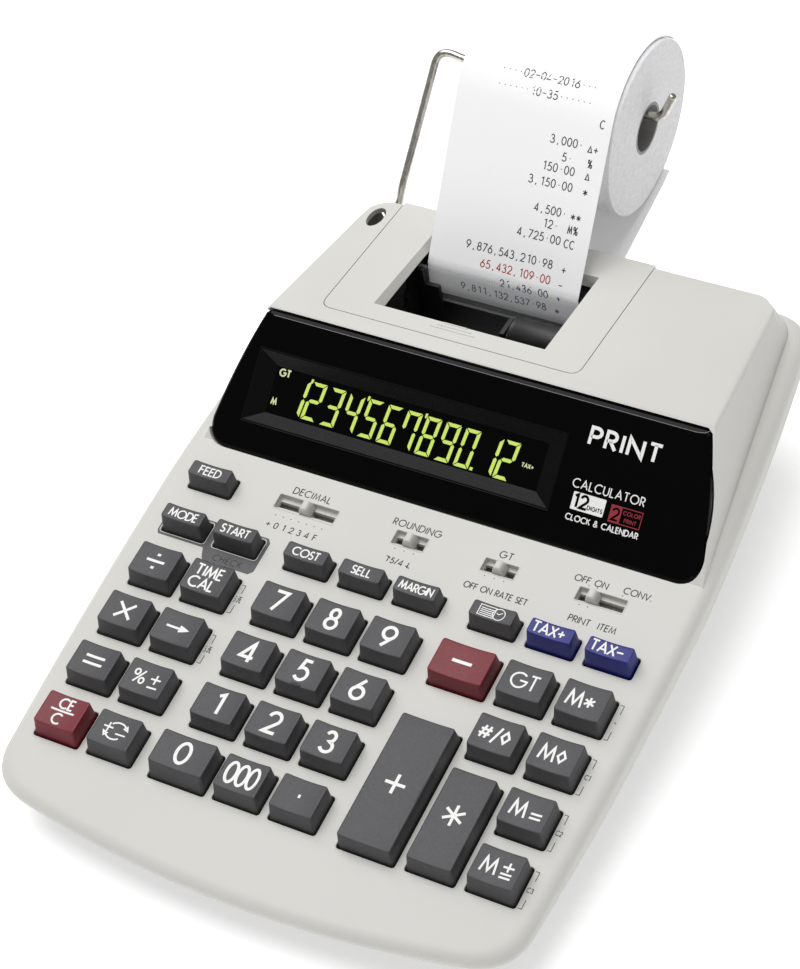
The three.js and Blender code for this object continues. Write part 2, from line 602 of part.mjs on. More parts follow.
// Bring the origin under the middle of the whole object.
machine.updateMatrixWorld(true);
const extent = new THREE.Box3().setFromObject(machine, true);
const middle = extent.getCenter(new THREE.Vector3());
machine.position.set(-middle.x, -middle.y, -extent.min.z);

export default calculator;
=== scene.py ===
# A printing desk calculator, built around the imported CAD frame: case, display panel, keys with
# their legends, slide switches, printer, paper roll and wire holder.
import math

import bmesh
import bpy
from mathutils import Matrix, Vector


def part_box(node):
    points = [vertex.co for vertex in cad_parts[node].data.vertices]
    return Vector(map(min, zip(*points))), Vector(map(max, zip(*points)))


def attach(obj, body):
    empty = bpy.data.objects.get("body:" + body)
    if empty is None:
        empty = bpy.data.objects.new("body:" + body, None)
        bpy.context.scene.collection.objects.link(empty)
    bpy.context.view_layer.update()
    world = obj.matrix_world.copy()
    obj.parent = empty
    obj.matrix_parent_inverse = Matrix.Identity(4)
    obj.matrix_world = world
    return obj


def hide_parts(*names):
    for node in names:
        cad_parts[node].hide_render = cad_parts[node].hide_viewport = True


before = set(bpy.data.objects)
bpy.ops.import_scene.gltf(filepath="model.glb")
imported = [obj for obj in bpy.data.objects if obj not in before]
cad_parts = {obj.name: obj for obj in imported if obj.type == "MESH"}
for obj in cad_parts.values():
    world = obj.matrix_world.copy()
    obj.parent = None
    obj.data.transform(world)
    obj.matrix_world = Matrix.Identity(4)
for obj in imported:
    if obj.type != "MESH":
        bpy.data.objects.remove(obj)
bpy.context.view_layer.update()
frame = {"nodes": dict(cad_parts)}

# ---------------------------------------------------------------- layout, in millimetres
MM = 0.001
TILT = math.radians(8.4)
DECK_HEIGHT = 31.5
PANEL_FOOT = (76.1, 0.0)
ROOF_FRONT = (118.8, 27.0)
ROOF_REAR = (183.0, 13.5)
RIM_DROP = 8.0
STRIP_DROP = 12.5
WALL = 2.5
FRONT_U = -78.0
REAR_U = 189.0
PITCH = 20.5
ROW = 20.7
NUMBER_X = -12.2
LEFT_X = NUMBER_X - 48.0
FUNCTION_X = NUMBER_X + 69.7
PLUS_X = NUMBER_X + 47.5
SMALL_ROW = 40.6
FEED_ROW = 59.4
SWITCH_U = 60.9
FOOT_X, FOOT_Y = 66.0, -48.0
LEFT_SPREAD = 1.028

# The desk frame is the one that the sizes above are stated in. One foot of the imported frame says
# where it lies.
foot_low, foot_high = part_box("foot_front_right")
foot_middle = (foot_low + foot_high) / 2 / MM
SHIFT = Vector((foot_middle.x - FOOT_X, foot_middle.y - FOOT_Y, 0.0))
DESK = Matrix.Scale(MM, 4) @ Matrix.Translation(SHIFT)
DECK = DESK @ Matrix.Translation((0, 0, DECK_HEIGHT)) @ Matrix.Rotation(TILT, 4, "X")


def leaning(origin, towards):
    run, rise = towards[0] - origin[0], towards[1] - origin[1]
    turn = Matrix.Rotation(math.atan2(rise, run), 4, "X")
    return DECK @ Matrix.Translation((0, origin[0], origin[1])) @ turn


PANEL = leaning(PANEL_FOOT, ROOF_FRONT)
ROOF = leaning(ROOF_FRONT, ROOF_REAR)
PANEL_LENGTH = math.dist(PANEL_FOOT, ROOF_FRONT)
ROOF_LENGTH = math.dist(ROOF_FRONT, ROOF_REAR)


# ---------------------------------------------------------------- materials
def srgb(red, green, blue):
    def linear(value):
        value /= 255
        return value / 12.92 if value <= 0.04045 else ((value + 0.055) / 1.055) ** 2.4
    return (linear(red), linear(green), linear(blue), 1.0)


def new_material(name):
    material = bpy.data.materials.new(name)
    material.use_nodes = True
    tree = material.node_tree
    shader = tree.nodes["Principled BSDF"]
    coordinates = tree.nodes.new("ShaderNodeTexCoord")
    return material, tree, shader, coordinates


def noise_node(tree, coordinates, scale, detail=3.0, stretch=None):
    noise = tree.nodes.new("ShaderNodeTexNoise")
    noise.inputs["Scale"].default_value = scale
    noise.inputs["Detail"].default_value = detail
    source = coordinates.outputs["Object"]
    if stretch:
        mapping = tree.nodes.new("ShaderNodeMapping")
        mapping.inputs["Scale"].default_value = stretch
        tree.links.new(source, mapping.inputs["Vector"])
        source = mapping.outputs["Vector"]
    tree.links.new(source, noise.inputs["Vector"])
    return noise


def ramp_node(tree, source, low, high, start=0.3, end=0.7):
    ramp = tree.nodes.new("ShaderNodeValToRGB")
    ramp.color_ramp.elements[0].position = start
    ramp.color_ramp.elements[0].color = low
    ramp.color_ramp.elements[1].position = end
    ramp.color_ramp.elements[1].color = high
    tree.links.new(source, ramp.inputs["Fac"])
    return ramp


def moulded(name, color, roughness, spread=0.06, mottle=60.0, grain=2500.0, bump=0.2, depth=0.00005,
            specular=0.5, coat=0.0):
    """Moulded plastic: a slightly uneven colour, and a fine spark-eroded grain in the surface."""
    material, tree, shader, coordinates = new_material(name)
    low = tuple(channel * (1 - spread) for channel in color[:3]) + (1.0,)
    high = tuple(min(1.0, channel * (1 + spread)) for channel in color[:3]) + (1.0,)
    patches = noise_node(tree, coordinates, mottle)
    tone = ramp_node(tree, patches.outputs["Fac"], low, high)
    tree.links.new(tone.outputs["Color"], shader.inputs["Base Color"])
    fine = noise_node(tree, coordinates, grain, 2.0)
    relief = tree.nodes.new("ShaderNodeBump")
    relief.inputs["Strength"].default_value = bump
    relief.inputs["Distance"].default_value = depth
    tree.links.new(fine.outputs["Fac"], relief.inputs["Height"])
    tree.links.new(relief.outputs["Normal"], shader.inputs["Normal"])
    sheen = ramp_node(tree, fine.outputs["Fac"], (roughness - 0.06,) * 3 + (1,), (roughness + 0.06,
                                                                                  ) * 3 + (1,))
    tree.links.new(sheen.outputs["Color"], shader.inputs["Roughness"])
    shader.inputs["Specular IOR Level"].default_value = specular
    shader.inputs["Coat Weight"].default_value = coat
    return material


def glossy_black(name):
    """Polished black acrylic with a trace of dust and hairline wear in the gloss."""
    material, tree, shader, coordinates = new_material(name)
    cloud = noise_node(tree, coordinates, 90.0)
    tone = ramp_node(tree, cloud.outputs["Fac"], (0.0003, 0.0003, 0.0004, 1), (0.0007, 0.0006, 0.0008, 1))
    tree.links.new(tone.outputs["Color"], shader.inputs["Base Color"])
    haze = noise_node(tree, coordinates, 700.0, 5.0)
    dull = ramp_node(tree, haze.outputs["Fac"], (0.05,) * 3 + (1,), (0.12,) * 3 + (1,), 0.35, 0.8)
    tree.links.new(dull.outputs["Color"], shader.inputs["Roughness"])
    shader.inputs["Specular IOR Level"].default_value = 0.1
    return material


def emitting(name, color, strength):
    material, tree, shader, coordinates = new_material(name)
    glow = noise_node(tree, coordinates, 1800.0, 1.0)
    low = tuple(channel * 0.9 for channel in color[:3]) + (1.0,)
    tone = ramp_node(tree, glow.outputs["Fac"], low, color)
    ground = ramp_node(tree, glow.outputs["Fac"], (0.01, 0.012, 0.008, 1), (0.02, 0.024, 0.015, 1))
    tree.links.new(ground.outputs["Color"], shader.inputs["Base Color"])
    tree.links.new(tone.outputs["Color"], shader.inputs["Emission Color"])
    shader.inputs["Emission Strength"].default_value = strength
    shader.inputs["Roughness"].default_value = 0.6
    return material


def metal(name):
    """Drawn, bright plated wire with fine lengthwise polishing marks."""
    material, tree, shader, coordinates = new_material(name)
    marks = noise_node(tree, coordinates, 900.0, 3.0, (1.0, 1.0, 0.15))
    tone = ramp_node(tree, marks.outputs["Fac"], srgb(176, 172, 164), srgb(214, 211, 204))
    tree.links.new(tone.outputs["Color"], shader.inputs["Base Color"])
    dull = ramp_node(tree, marks.outputs["Fac"], (0.12,) * 3 + (1,), (0.26,) * 3 + (1,))
    tree.links.new(dull.outputs["Color"], shader.inputs["Roughness"])
    shader.inputs["Metallic"].default_value = 1.0
    return material


def paper_material(name, low, high, painted_glow=0.0):
    material, tree, shader, coordinates = new_material(name)
    fibres = noise_node(tree, coordinates, 1400.0, 5.0, (1.0, 0.35, 1.0))
    tone = ramp_node(tree, fibres.outputs["Fac"], low, high)
    tree.links.new(tone.outputs["Color"], shader.inputs["Base Color"])
    relief = tree.nodes.new("ShaderNodeBump")
    relief.inputs["Strength"].default_value = 0.12
    relief.inputs["Distance"].default_value = 0.00003
    tree.links.new(fibres.outputs["Fac"], relief.inputs["Height"])
    tree.links.new(relief.outputs["Normal"], shader.inputs["Normal"])
    shader.inputs["Roughness"].default_value = 0.8
    shader.inputs["Specular IOR Level"].default_value = 0.25
    # Painted glow: the paper emits its own colour, standing in for light that the lamps don't give it.
    tree.links.new(tone.outputs["Color"], shader.inputs["Emission Color"])
    shader.inputs["Emission Strength"].default_value = painted_glow
    return material


def clear_plastic(name):
    material, tree, shader, coordinates = new_material(name)
    haze = noise_node(tree, coordinates, 500.0, 4.0)
    tone = ramp_node(tree, haze.outputs["Fac"], (0.62, 0.63, 0.65, 1), (0.72, 0.73, 0.75, 1))
    tree.links.new(tone.outputs["Color"], shader.inputs["Base Color"])
    dull = ramp_node(tree, haze.outputs["Fac"], (0.05,) * 3 + (1,), (0.14,) * 3 + (1,))
    tree.links.new(dull.outputs["Color"], shader.inputs["Roughness"])
    shader.inputs["Alpha"].default_value = 0.17
    shader.inputs["IOR"].default_value = 1.4
    return material


CASE = moulded("case_plastic", srgb(213, 212, 207), 0.55, 0.015, 25.0, 1800.0, 0.16, 0.00004)
CASE_DARK = moulded("base_plastic", srgb(120, 119, 117), 0.55, 0.05, 40.0, 1500.0, 0.25)
KEY_GREY = moulded("key_grey_plastic", srgb(66, 66, 69), 0.5, 0.1, 1400.0, 2300.0, 0.4, 0.00008)
KEY_RED = moulded("key_red_plastic", srgb(118, 24, 38), 0.5, 0.07, 1400.0, 2300.0, 0.35, 0.00008)
KEY_BLUE = moulded("key_blue_plastic", srgb(24, 27, 120), 0.45, 0.08, 1400.0, 2300.0, 0.35, 0.00008)
PATCH_GREY = moulded("patch_grey_print", srgb(86, 86, 88), 0.55, 0.06, 900.0, 2000.0, 0.2)
BLACK = moulded("mechanism_black_plastic", srgb(30, 30, 31), 0.45, 0.2, 300.0, 1600.0, 0.3)
RUBBER = moulded("rubber", srgb(36, 36, 38), 0.8, 0.15, 500.0, 1200.0, 0.4)
RECESS = moulded("window_frame_plastic", srgb(7, 7, 8), 0.3, 0.1, 900.0, 2600.0, 0.2, specular=0.12)
# Painted highlight: a light grey that stands in for the light the black panel's ridge catches.
RIDGE_PAINTED_HIGHLIGHT = moulded("panel_ridge_painted_highlight", srgb(120, 120, 128), 0.3, 0.05, 900.0, 2600.0, 0.1)
WHITE_INK = moulded("white_ink", srgb(244, 244, 242), 0.5, 0.02, 800.0, 2500.0, 0.1)
DARK_INK = moulded("dark_ink", srgb(46, 46, 48), 0.6, 0.08, 900.0, 2500.0, 0.1)
PRINT_INK = moulded("tape_ink", srgb(52, 52, 64), 0.8, 0.25, 2200.0, 3000.0, 0.1)
PRINT_RED = moulded("tape_red_ink", srgb(176, 42, 38), 0.8, 0.2, 2200.0, 3000.0, 0.1)
PRINT_BLUE = moulded("tape_blue_ink", srgb(58, 58, 118), 0.8, 0.2, 2200.0, 3000.0, 0.1)
BADGE_RED = moulded("badge_red_ink", srgb(150, 30, 48), 0.5, 0.05, 900.0, 2500.0, 0.1)
GLOSS = glossy_black("panel_black_gloss")
GLASS = glossy_black("display_glass_black")
LIT = emitting("display_segments", srgb(204, 230, 100), 0.98)
LIT_DIM = emitting("display_symbols", srgb(222, 234, 178), 0.85)
CHROME = metal("plated_wire")
# The tape paper has a painted glow of 0.09 that makes it lighter than the lamps alone would.
PAPER = paper_material("tape_paper_painted_glow", srgb(245, 245, 246), srgb(252, 252, 252), 0.09)
PAPER_EDGE = paper_material("paper_roll_edge", srgb(222, 222, 224), srgb(240, 240, 241))
CORE = moulded("roll_core_card", srgb(150, 148, 146), 0.8, 0.08, 700.0, 900.0, 0.4)
CLEAR = clear_plastic("smoked_clear_plastic")
BOARD = moulded("board_green", srgb(38, 84, 54), 0.5, 0.1, 500.0, 1500.0, 0.2)


# ---------------------------------------------------------------- mesh helpers
def link(name, mesh, material):
    body = bpy.data.objects.new(name, mesh)
    bpy.context.scene.collection.objects.link(body)
    mesh.materials.clear()
    mesh.materials.append(material)
    return body


def build(name, vertices, faces, material, place=None, outward=True):
    """A mesh object from points in millimetres; place is the frame that they are stated in."""
    mesh = bpy.data.meshes.new(name)
    mesh.from_pydata([tuple(v) for v in vertices], [], faces)
    mesh.validate()
    if outward:
        shell = bmesh.new()
        shell.from_mesh(mesh)
        bmesh.ops.recalc_face_normals(shell, faces=shell.faces)
        shell.to_mesh(mesh)
        shell.free()
    if place is not None:
        mesh.transform(place)
    return link(name, mesh, material)


def finish_piece(piece, body, slot, angle=35.0, replaced=()):
    mesh = piece.data
    mesh.polygons.foreach_set("use_smooth", [True] * len(mesh.polygons))
    mesh.set_sharp_from_angle(angle=math.radians(angle))
    mesh.update()
    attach(piece, body)
    if replaced:
        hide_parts(*replaced)
    return piece


def evaluated(piece):
    graph = bpy.context.evaluated_depsgraph_get()
    mesh = bpy.data.meshes.new_from_object(piece.evaluated_get(graph))
    old = piece.data
    piece.modifiers.clear()
    piece.data = mesh
    bpy.data.meshes.remove(old)
    return piece


def combine(piece, other, operation):
    modifier = piece.modifiers.new("combine", "BOOLEAN")
    modifier.solver = "MANIFOLD"
    modifier.operation = operation
    modifier.object = other
    evaluated(piece)
    bpy.data.objects.remove(other)
    return piece


def joined(piece, *others):
    shell = bmesh.new()
    for source in (piece, *others):
        shell.from_mesh(source.data)
    shell.to_mesh(piece.data)
    shell.free()
    for other in others:
        bpy.data.objects.remove(other)
    return piece


def loft_faces(rings, closed=False):
    count = len(rings[0])
    vertices = [point for ring in rings for point in ring]
    faces = []
    last = len(rings) if closed else len(rings) - 1
    for r in range(last):
        for i in range(count):
            a = r * count + i
            b = r * count + (i + 1) % count
            c = ((r + 1) % len(rings)) * count
            faces.append((a, b, c + (i + 1) % count, c + i))
    if not closed:
        faces.append(tuple(reversed(range(count))))
        faces.append(tuple((len(rings) - 1) * count + i for i in range(count)))
    return vertices, faces


def loft(name, rings, material, place=None, closed=False):
    vertices, faces = loft_faces(rings, closed)
    return build(name, vertices, faces, material, place)


def rounded_rectangle(width, depth, corner, x=0.0, y=0.0, steps=4, side=1):
    """Points round a rounded rectangle; side is the number of divisions along each straight."""
    corner = min(corner, width / 2 - 1e-3, depth / 2 - 1e-3)
    centres = [(width / 2 - corner, depth / 2 - corner, 0), (-width / 2 + corner, depth / 2 - corner, 90),
               (-width / 2 + corner, -depth / 2 + corner, 180), (width / 2 - corner, -depth / 2 + corner,
                                                                 270)]
    points = []
    for index, (cx, cy, start) in enumerate(centres):
        for i in range(steps + 1):
            angle = math.radians(start + 90 * i / steps)
            points.append((x + cx + corner * math.cos(angle), y + cy + corner * math.sin(angle)))
        nx, ny, turn = centres[(index + 1) % 4]
        angle = math.radians(turn)
        target = (x + nx + corner * math.cos(angle), y + ny + corner * math.sin(angle))
        here = points[-1]
        for i in range(1, side):
            share = i / side
            points.append((here[0] + (target[0] - here[0]) * share, here[1] + (target[1] - here[1]) * share))
    return points


def at(points, height):
    return [(x, y, height) for x, y in points]


def prism(name, points, low, high, material, place=None):
    return loft(name, [at(points, low), at(points, high)], material, place)


def block(name, x0, x1, y0, y1, z0, z1, material, place=None, round_by=0.0):
    """A box with rounded upright corners and softened top and bottom edges."""
    width, depth = x1 - x0, y1 - y0
    x, y = (x0 + x1) / 2, (y0 + y1) / 2
    if round_by <= 0:
        return prism(name, rounded_rectangle(width, depth, 0.05, x, y, 1), z0, z1, material, place)
    r = min(round_by, width / 2.2, depth / 2.2, (z1 - z0) / 2.2)
    full = rounded_rectangle(width, depth, r, x, y, 3)
    small = rounded_rectangle(width - 1.2 * r, depth - 1.2 * r, r * 0.6, x, y, 3)
    middle = rounded_rectangle(width - 0.35 * r, depth - 0.35 * r, r * 0.9, x, y, 3)
    rings = [at(small, z0), at(middle, z0 + 0.35 * r), at(full, z0 + r), at(full, z1 - r),
             at(middle, z1 - 0.35 * r), at(small, z1)]
    return loft(name, rings, material, place)


def sweep(path, radius, sides=12, closed=False, squash=1.0):
    """Vertices and faces of a tube along a path of 3D points."""
    path = [Vector(p) for p in path]
    count = len(path)
    rings = []
    normal = None
    for i, point in enumerate(path):
        before = path[i - 1] if (i or closed) else point
        after = path[(i + 1) % count] if (i + 1 < count or closed) else point
        along = (after - before).normalized()
        if normal is None:
            helper = Vector((0, 0, 1)) if abs(along.z) < 0.9 else Vector((1, 0, 0))
            normal = along.cross(helper).normalized()
        normal = (normal - along * normal.dot(along)).normalized()
        other = along.cross(normal)
        size = radius[i] if isinstance(radius, (list, tuple)) else radius
        rings.append([point + normal * (size * math.cos(2 * math.pi * k / sides))
                      + other * (size * squash * math.sin(2 * math.pi * k / sides)) for k in range(sides)])
    return loft_faces(rings, closed)


def tube(name, path, radius, material, place=None, sides=12, closed=False, squash=1.0):
    vertices, faces = sweep(path, radius, sides, closed, squash)
    return build(name, vertices, faces, material, place)


def lathe_x(name, profile, material, place, x=0.0, y=0.0, z=0.0, steps=64):
    """A closed profile of (x, radius) points turned round a line along X."""
    rings = []
    for k in range(steps):
        angle = 2 * math.pi * k / steps
        rings.append([(x + px, y + r * math.cos(angle), z + r * math.sin(angle)) for px, r in profile])
    return loft(name, rings, material, place, closed=True)


# ---------------------------------------------------------------- lettering: a plain single-line face
def curve(cx, cy, rx, ry, start, end):
    steps = max(2, round(abs(end - start) / 15))
    return [(cx + rx * math.cos(math.radians(start + (end - start) * i / steps)),
             cy + ry * math.sin(math.radians(start + (end - start) * i / steps))) for i in range(steps + 1)]


def ring_of(cx, cy, rx, ry):
    return curve(cx, cy, rx, ry, 0, 360)[:-1] + ["closed"]


GLYPHS = {
    " ": (0.34, []),
    "A": (0.76, [[(0, 0), (0.38, 1), (0.76, 0)], [(0.13, 0.33), (0.63, 0.33)]]),
    "B": (0.5, [[(0, 0.52), (0, 1), (0.24, 1), *curve(0.24, 0.76, 0.21, 0.24, 90, -90), (0, 0.52), (0, 0),
                 (0.26, 0), *curve(0.26, 0.26, 0.24, 0.26, -90, 90)]]),
    "C": (0.84, [curve(0.5, 0.5, 0.5, 0.5, 48, 312)]),
    "D": (0.74, [[(0, 0), (0, 1), (0.24, 1), *curve(0.24, 0.5, 0.5, 0.5, 90, -90), "closed"]]),
    "E": (0.46, [[(0.46, 1), (0, 1), (0, 0), (0.46, 0)], [(0, 0.53), (0.42, 0.53)]]),
    "F": (0.44, [[(0.44, 1), (0, 1), (0, 0)], [(0, 0.53), (0.4, 0.53)]]),
    "G": (1.0, [[*curve(0.5, 0.5, 0.5, 0.5, 48, 360), (0.55, 0.5)]]),
    "H": (0.66, [[(0, 0), (0, 1)], [(0.66, 0), (0.66, 1)], [(0, 0.53), (0.66, 0.53)]]),
    "I": (0.02, [[(0.01, 0), (0.01, 1)]]),
    "K": (0.58, [[(0, 0), (0, 1)], [(0.54, 1), (0, 0.44)], [(0.18, 0.62), (0.58, 0)]]),
    "L": (0.44, [[(0, 1), (0, 0), (0.44, 0)]]),
    "M": (0.9, [[(0, 0), (0.15, 1), (0.45, 0.1), (0.75, 1), (0.9, 0)]]),
    "N": (0.72, [[(0, 0), (0, 1), (0.72, 0), (0.72, 1)]]),
    "O": (1.0, [ring_of(0.5, 0.5, 0.5, 0.5)]),
    "P": (0.5, [[(0, 0), (0, 1), (0.24, 1), *curve(0.24, 0.74, 0.26, 0.26, 90, -90), (0, 0.48)]]),
    "R": (0.52, [[(0, 0), (0, 1), (0.22, 1), *curve(0.22, 0.74, 0.26, 0.26, 90, -90), (0, 0.48)],
                 [(0.2, 0.48), (0.52, 0)]]),
    "S": (0.48, [[*curve(0.24, 0.75, 0.2, 0.25, 30, 255), *curve(0.24, 0.25, 0.23, 0.25, 75, -150)]]),
    "T": (0.58, [[(0, 1), (0.58, 1)], [(0.29, 1), (0.29, 0)]]),
    "U": (0.62, [[(0, 1), (0, 0.31), *curve(0.31, 0.31, 0.31, 0.31, 180, 360), (0.62, 1)]]),
    "V": (0.72, [[(0, 1), (0.36, 0), (0.72, 1)]]),
    "X": (0.64, [[(0, 0), (0.62, 1)], [(0.02, 1), (0.64, 0)]]),
    "Y": (0.62, [[(0, 1), (0.31, 0.46), (0.62, 1)], [(0.31, 0.46), (0.31, 0)]]),
    "0": (0.62, [ring_of(0.31, 0.5, 0.31, 0.5)]),
    "1": (0.24, [[(0, 0.86), (0.24, 1), (0.24, 0)]]),
    "2": (0.58, [[*curve(0.29, 0.71, 0.28, 0.29, 170, -38), (0, 0), (0.58, 0)]]),
    "3": (0.54, [[*curve(0.25, 0.76, 0.21, 0.24, 160, -80), *curve(0.25, 0.26, 0.28, 0.26, 80, -160)]]),
    "4": (0.64, [[(0.46, 0), (0.46, 1), (0, 0.24), (0.64, 0.24)]]),
    "5": (0.54, [[(0.5, 1), (0.17, 1), (0.09, 0.57), *curve(0.25, 0.31, 0.29, 0.31, 110, -150)]]),
    "6": (0.6, [[(0.46, 1), (0.06, 0.46)], ring_of(0.3, 0.3, 0.3, 0.3)]),
    "7": (0.58, [[(0, 1), (0.58, 1), (0.14, 0)]]),
    "8": (0.54, [ring_of(0.27, 0.76, 0.2, 0.24), ring_of(0.27, 0.26, 0.27, 0.26)]),
    "9": (0.6, [ring_of(0.3, 0.7, 0.3, 0.3), [(0.54, 0.54), (0.14, 0)]]),
    "+": (0.62, [[(0, 0.46), (0.62, 0.46)], [(0.31, 0.15), (0.31, 0.77)]]),
    "-": (0.6, [[(0, 0.46), (0.6, 0.46)]]),
    "=": (0.66, [[(0, 0.32), (0.66, 0.32)], [(0, 0.64), (0.66, 0.64)]]),
    "/": (0.4, [[(0, -0.05), (0.4, 1.05)]]),
    ".": (0.1, [[(0.0, 0.06), (0.12, 0.06)]]),
    ":": (0.1, [[(0.0, 0.46), (0.12, 0.46)]]),
    ",": (0.12, [[(0.1, 0.1), (0.02, -0.16)]]),
    "%": (0.86, [[(0.14, 0), (0.72, 1)], ring_of(0.17, 0.77, 0.17, 0.21), ring_of(0.69, 0.23, 0.17, 0.21)]),
    "*": (0.6, [[(0.3, 0.84), (0.3, 0.16)], [(0.0, 0.67), (0.6, 0.33)], [(0.0, 0.33), (0.6, 0.67)]]),
    "#": (0.76, [[(0.14, 0.1), (0.34, 0.92)], [(0.44, 0.1), (0.64, 0.92)], [(0.02, 0.37), (0.7, 0.37)],
                 [(0.08, 0.66), (0.76, 0.66)]]),
    "<": (0.5, [[(0.25, 0.12), (0.5, 0.5), (0.25, 0.88), (0, 0.5), "closed"]]),
    "~": (0.5, [[*curve(0.14, 0.42, 0.13, 0.14, 160, 20), *curve(0.37, 0.56, 0.13, 0.14, 200, 340)]]),
    "&": (0.7, [[(0.7, 0), *curve(0.3, 0.79, 0.17, 0.21, 205, -35), *curve(0.25, 0.25, 0.25, 0.25, 130, 320),
                 (0.64, 0.44)]]),
    "^": (0.5, [[(0.0, 0.1), (0.25, 0.85), (0.5, 0.1), "closed"]]),
}


def text_strokes(text, height, spacing=0.22, squeeze=1.0):
    """Strokes of a line of text that starts at x = 0 on the baseline, and its width."""
    strokes = []
    pen = 0.0
    for character in text:
        width, shapes = GLYPHS[character]
        for shape in shapes:
            strokes.append([point if point == "closed" else
                            ((pen + point[0]) * height * squeeze, point[1] * height) for point in shape])
        pen += width + spacing
    return strokes, (pen - spacing) * height * squeeze


def moved(strokes, dx, dy, turn=0.0):
    c, s = math.cos(math.radians(turn)), math.sin(math.radians(turn))
    return [[p if p == "closed" else (dx + p[0] * c - p[1] * s, dy + p[0] * s + p[1] * c) for p in stroke]
            for stroke in strokes]


def centred(text, x, y, height, spacing=0.22, squeeze=1.0, turn=0.0):
    """Text whose middle is at (x, y)."""
    strokes, width = text_strokes(text, height, spacing, squeeze)
    return moved(moved(strokes, -width / 2, -height / 2), x, y, turn)


def divided(points, closed, step):
    result = []
    pairs = list(zip(points, points[1:] + points[:1])) if closed else list(zip(points, points[1:]))
    for a, b in pairs:
        count = max(1, math.ceil(math.dist(a, b) / step))
        result += [(a[0] + (b[0] - a[0]) * i / count, a[1] + (b[1] - a[1]) * i / count) for i in range(count)]
    if not closed:
        result.append(points[-1])
    return result


def ink(name, strokes, width, place, material, body, slot, step=1.2, rise=0.05):
    """Strokes as thin raised ribbons. place(x, y, lift) gives the point in metres."""
    vertices, faces = [], []
    for stroke in strokes:
        closed = stroke[-1] == "closed"
        raw = stroke[:-1] if closed else stroke
        points = [raw[0]]
        for point in raw[1:]:
            if math.dist(point, points[-1]) > 1e-3:
                points.append(point)
        points = divided(points, closed, step)
        count = len(points)
        start = len(vertices)
        for i, (x, y) in enumerate(points):
            before = points[i - 1] if (i or closed) else points[0]
            after = points[(i + 1) % count] if (i + 1 < count or closed) else points[-1]
            d1 = Vector((x - before[0], y - before[1]))
            d2 = Vector((after[0] - x, after[1] - y))
            d1 = d1.normalized() if d1.length > 1e-6 else d2.normalized()
            d2 = d2.normalized() if d2.length > 1e-6 else d1
            middle = (d1 + d2).normalized() if (d1 + d2).length > 0.2 else d2
            reach = width / 2 / max(0.45, abs(middle.dot(d1)))
            side = Vector((-middle.y, middle.x)) * reach
            for lift in (-0.04, rise):
                vertices.append(place(x + side.x, y + side.y, lift))
                vertices.append(place(x - side.x, y - side.y, lift))
        last = count if closed else count - 1
        for i in range(last):
            a = start + 4 * i
            b = start + 4 * ((i + 1) % count)
            faces += [(a + 2, a + 3, b + 3, b + 2), (a + 1, a, b, b + 1), (a, a + 2, b + 2, b),
                      (a + 3, a + 1, b + 1, b + 3)]
        if not closed:
            end = start + 4 * (count - 1)
            faces += [(start, start + 1, start + 3, start + 2), (end + 1, end, end + 2, end + 3)]
    piece = build(name, vertices, faces, material)
    return finish_piece(piece, body, slot, 30.0)


def on(matrix, base=0.0):
    return lambda x, y, lift: matrix @ Vector((x, y, base + lift))


# ---------------------------------------------------------------- case outline on the deck plane
def half_width(u):
    rise = abs(u - 60) / 120
    return 97.5 - (10.5 * rise ** 1.6 if u > 60 else 3.3 * rise ** 2)


def bezier(start, bend, end, steps):
    points = []
    for i in range(1, steps + 1):
        s = i / steps
        points.append(tuple((1 - s) ** 2 * a + 2 * s * (1 - s) * b + s * s * c
                            for a, b, c in zip(start, bend, end)))
    return points


def case_outline(inset, rear_inset=None, pinch=0.0, corner_steps=9):
    """The case seen square to the deck: a bowed front, rounded corners and barrelled sides."""
    rear = REAR_U - (inset if rear_inset is None else rear_inset)

    def half(u):
        return half_width(u) - inset - (pinch * (u - 120) / 60 if u > 120 else 0)

    def front(x):
        return FRONT_U + inset + x * x / 800

    side_start = front(0) + 9 + 17
    front_end = half(side_start) - 17
    side_end = rear - 14
    right = [(0, front(0))]
    right += [(front_end * i / 8, front(front_end * i / 8)) for i in range(1, 9)]
    right += bezier(right[-1], (half(side_start), front(front_end) + 3), (half(side_start), side_start),
                    corner_steps)
    right += [(half(u), u) for u in [side_start + (side_end - side_start) * i / 22 for i in range(1, 23)]]
    right += bezier(right[-1], (half(rear), rear), (half(rear) - 14, rear), corner_steps)
    right += [((half(rear) - 14) * (1 - i / 6), rear) for i in range(1, 7)]
    left = [(-x * LEFT_SPREAD, y) for x, y in reversed(right[1:-1])]
    return right + left


def ring_at(points, n):
    return [(x, y, n) for x, y in points]


def front_rise(u, n):
    """The side wall of the upper case runs out towards the front: its lower edge rises there."""
    if n > -3 or u > -10:
        return n
    return -3 + (n + 3) * max(0.3, 1 + 0.7 * (u + 10) / 50)


# Keys: name, class, x and u; the finish of each follows in KEY_FINISH.
KEY_CLASSES = {
    "normal": dict(base=(17, 14.1), top=(15.5, 12.3), height=6.6, back=1.0, dish=0.75),
    "small": dict(base=(16.8, 7.9), top=(15.5, 5.9), height=6.7, back=0.8, dish=0.7),
    "wide": dict(base=(21, 15), top=(20.0, 12.5), height=7.0, back=1.3, dish=0.7),
    "minus": dict(base=(20.5, 15.3), top=(19.3, 12.9), height=6.5, back=0.5, dish=0.8),
    "plus": dict(base=(20.2, 48.6), top=(18.8, 46.6), height=6.5, back=0.3, dish=0.45),
    "total": dict(base=(17, 35.4), top=(15.6, 33.6), height=6.2, back=0.8, dish=0.4),
}
KEYS = {}
for digit in range(1, 10):
    column, row = (digit - 1) % 3 - 1, (digit - 1) // 3 - 1
    KEYS[f"key_{digit}"] = ("normal", NUMBER_X + column * PITCH, row * ROW)
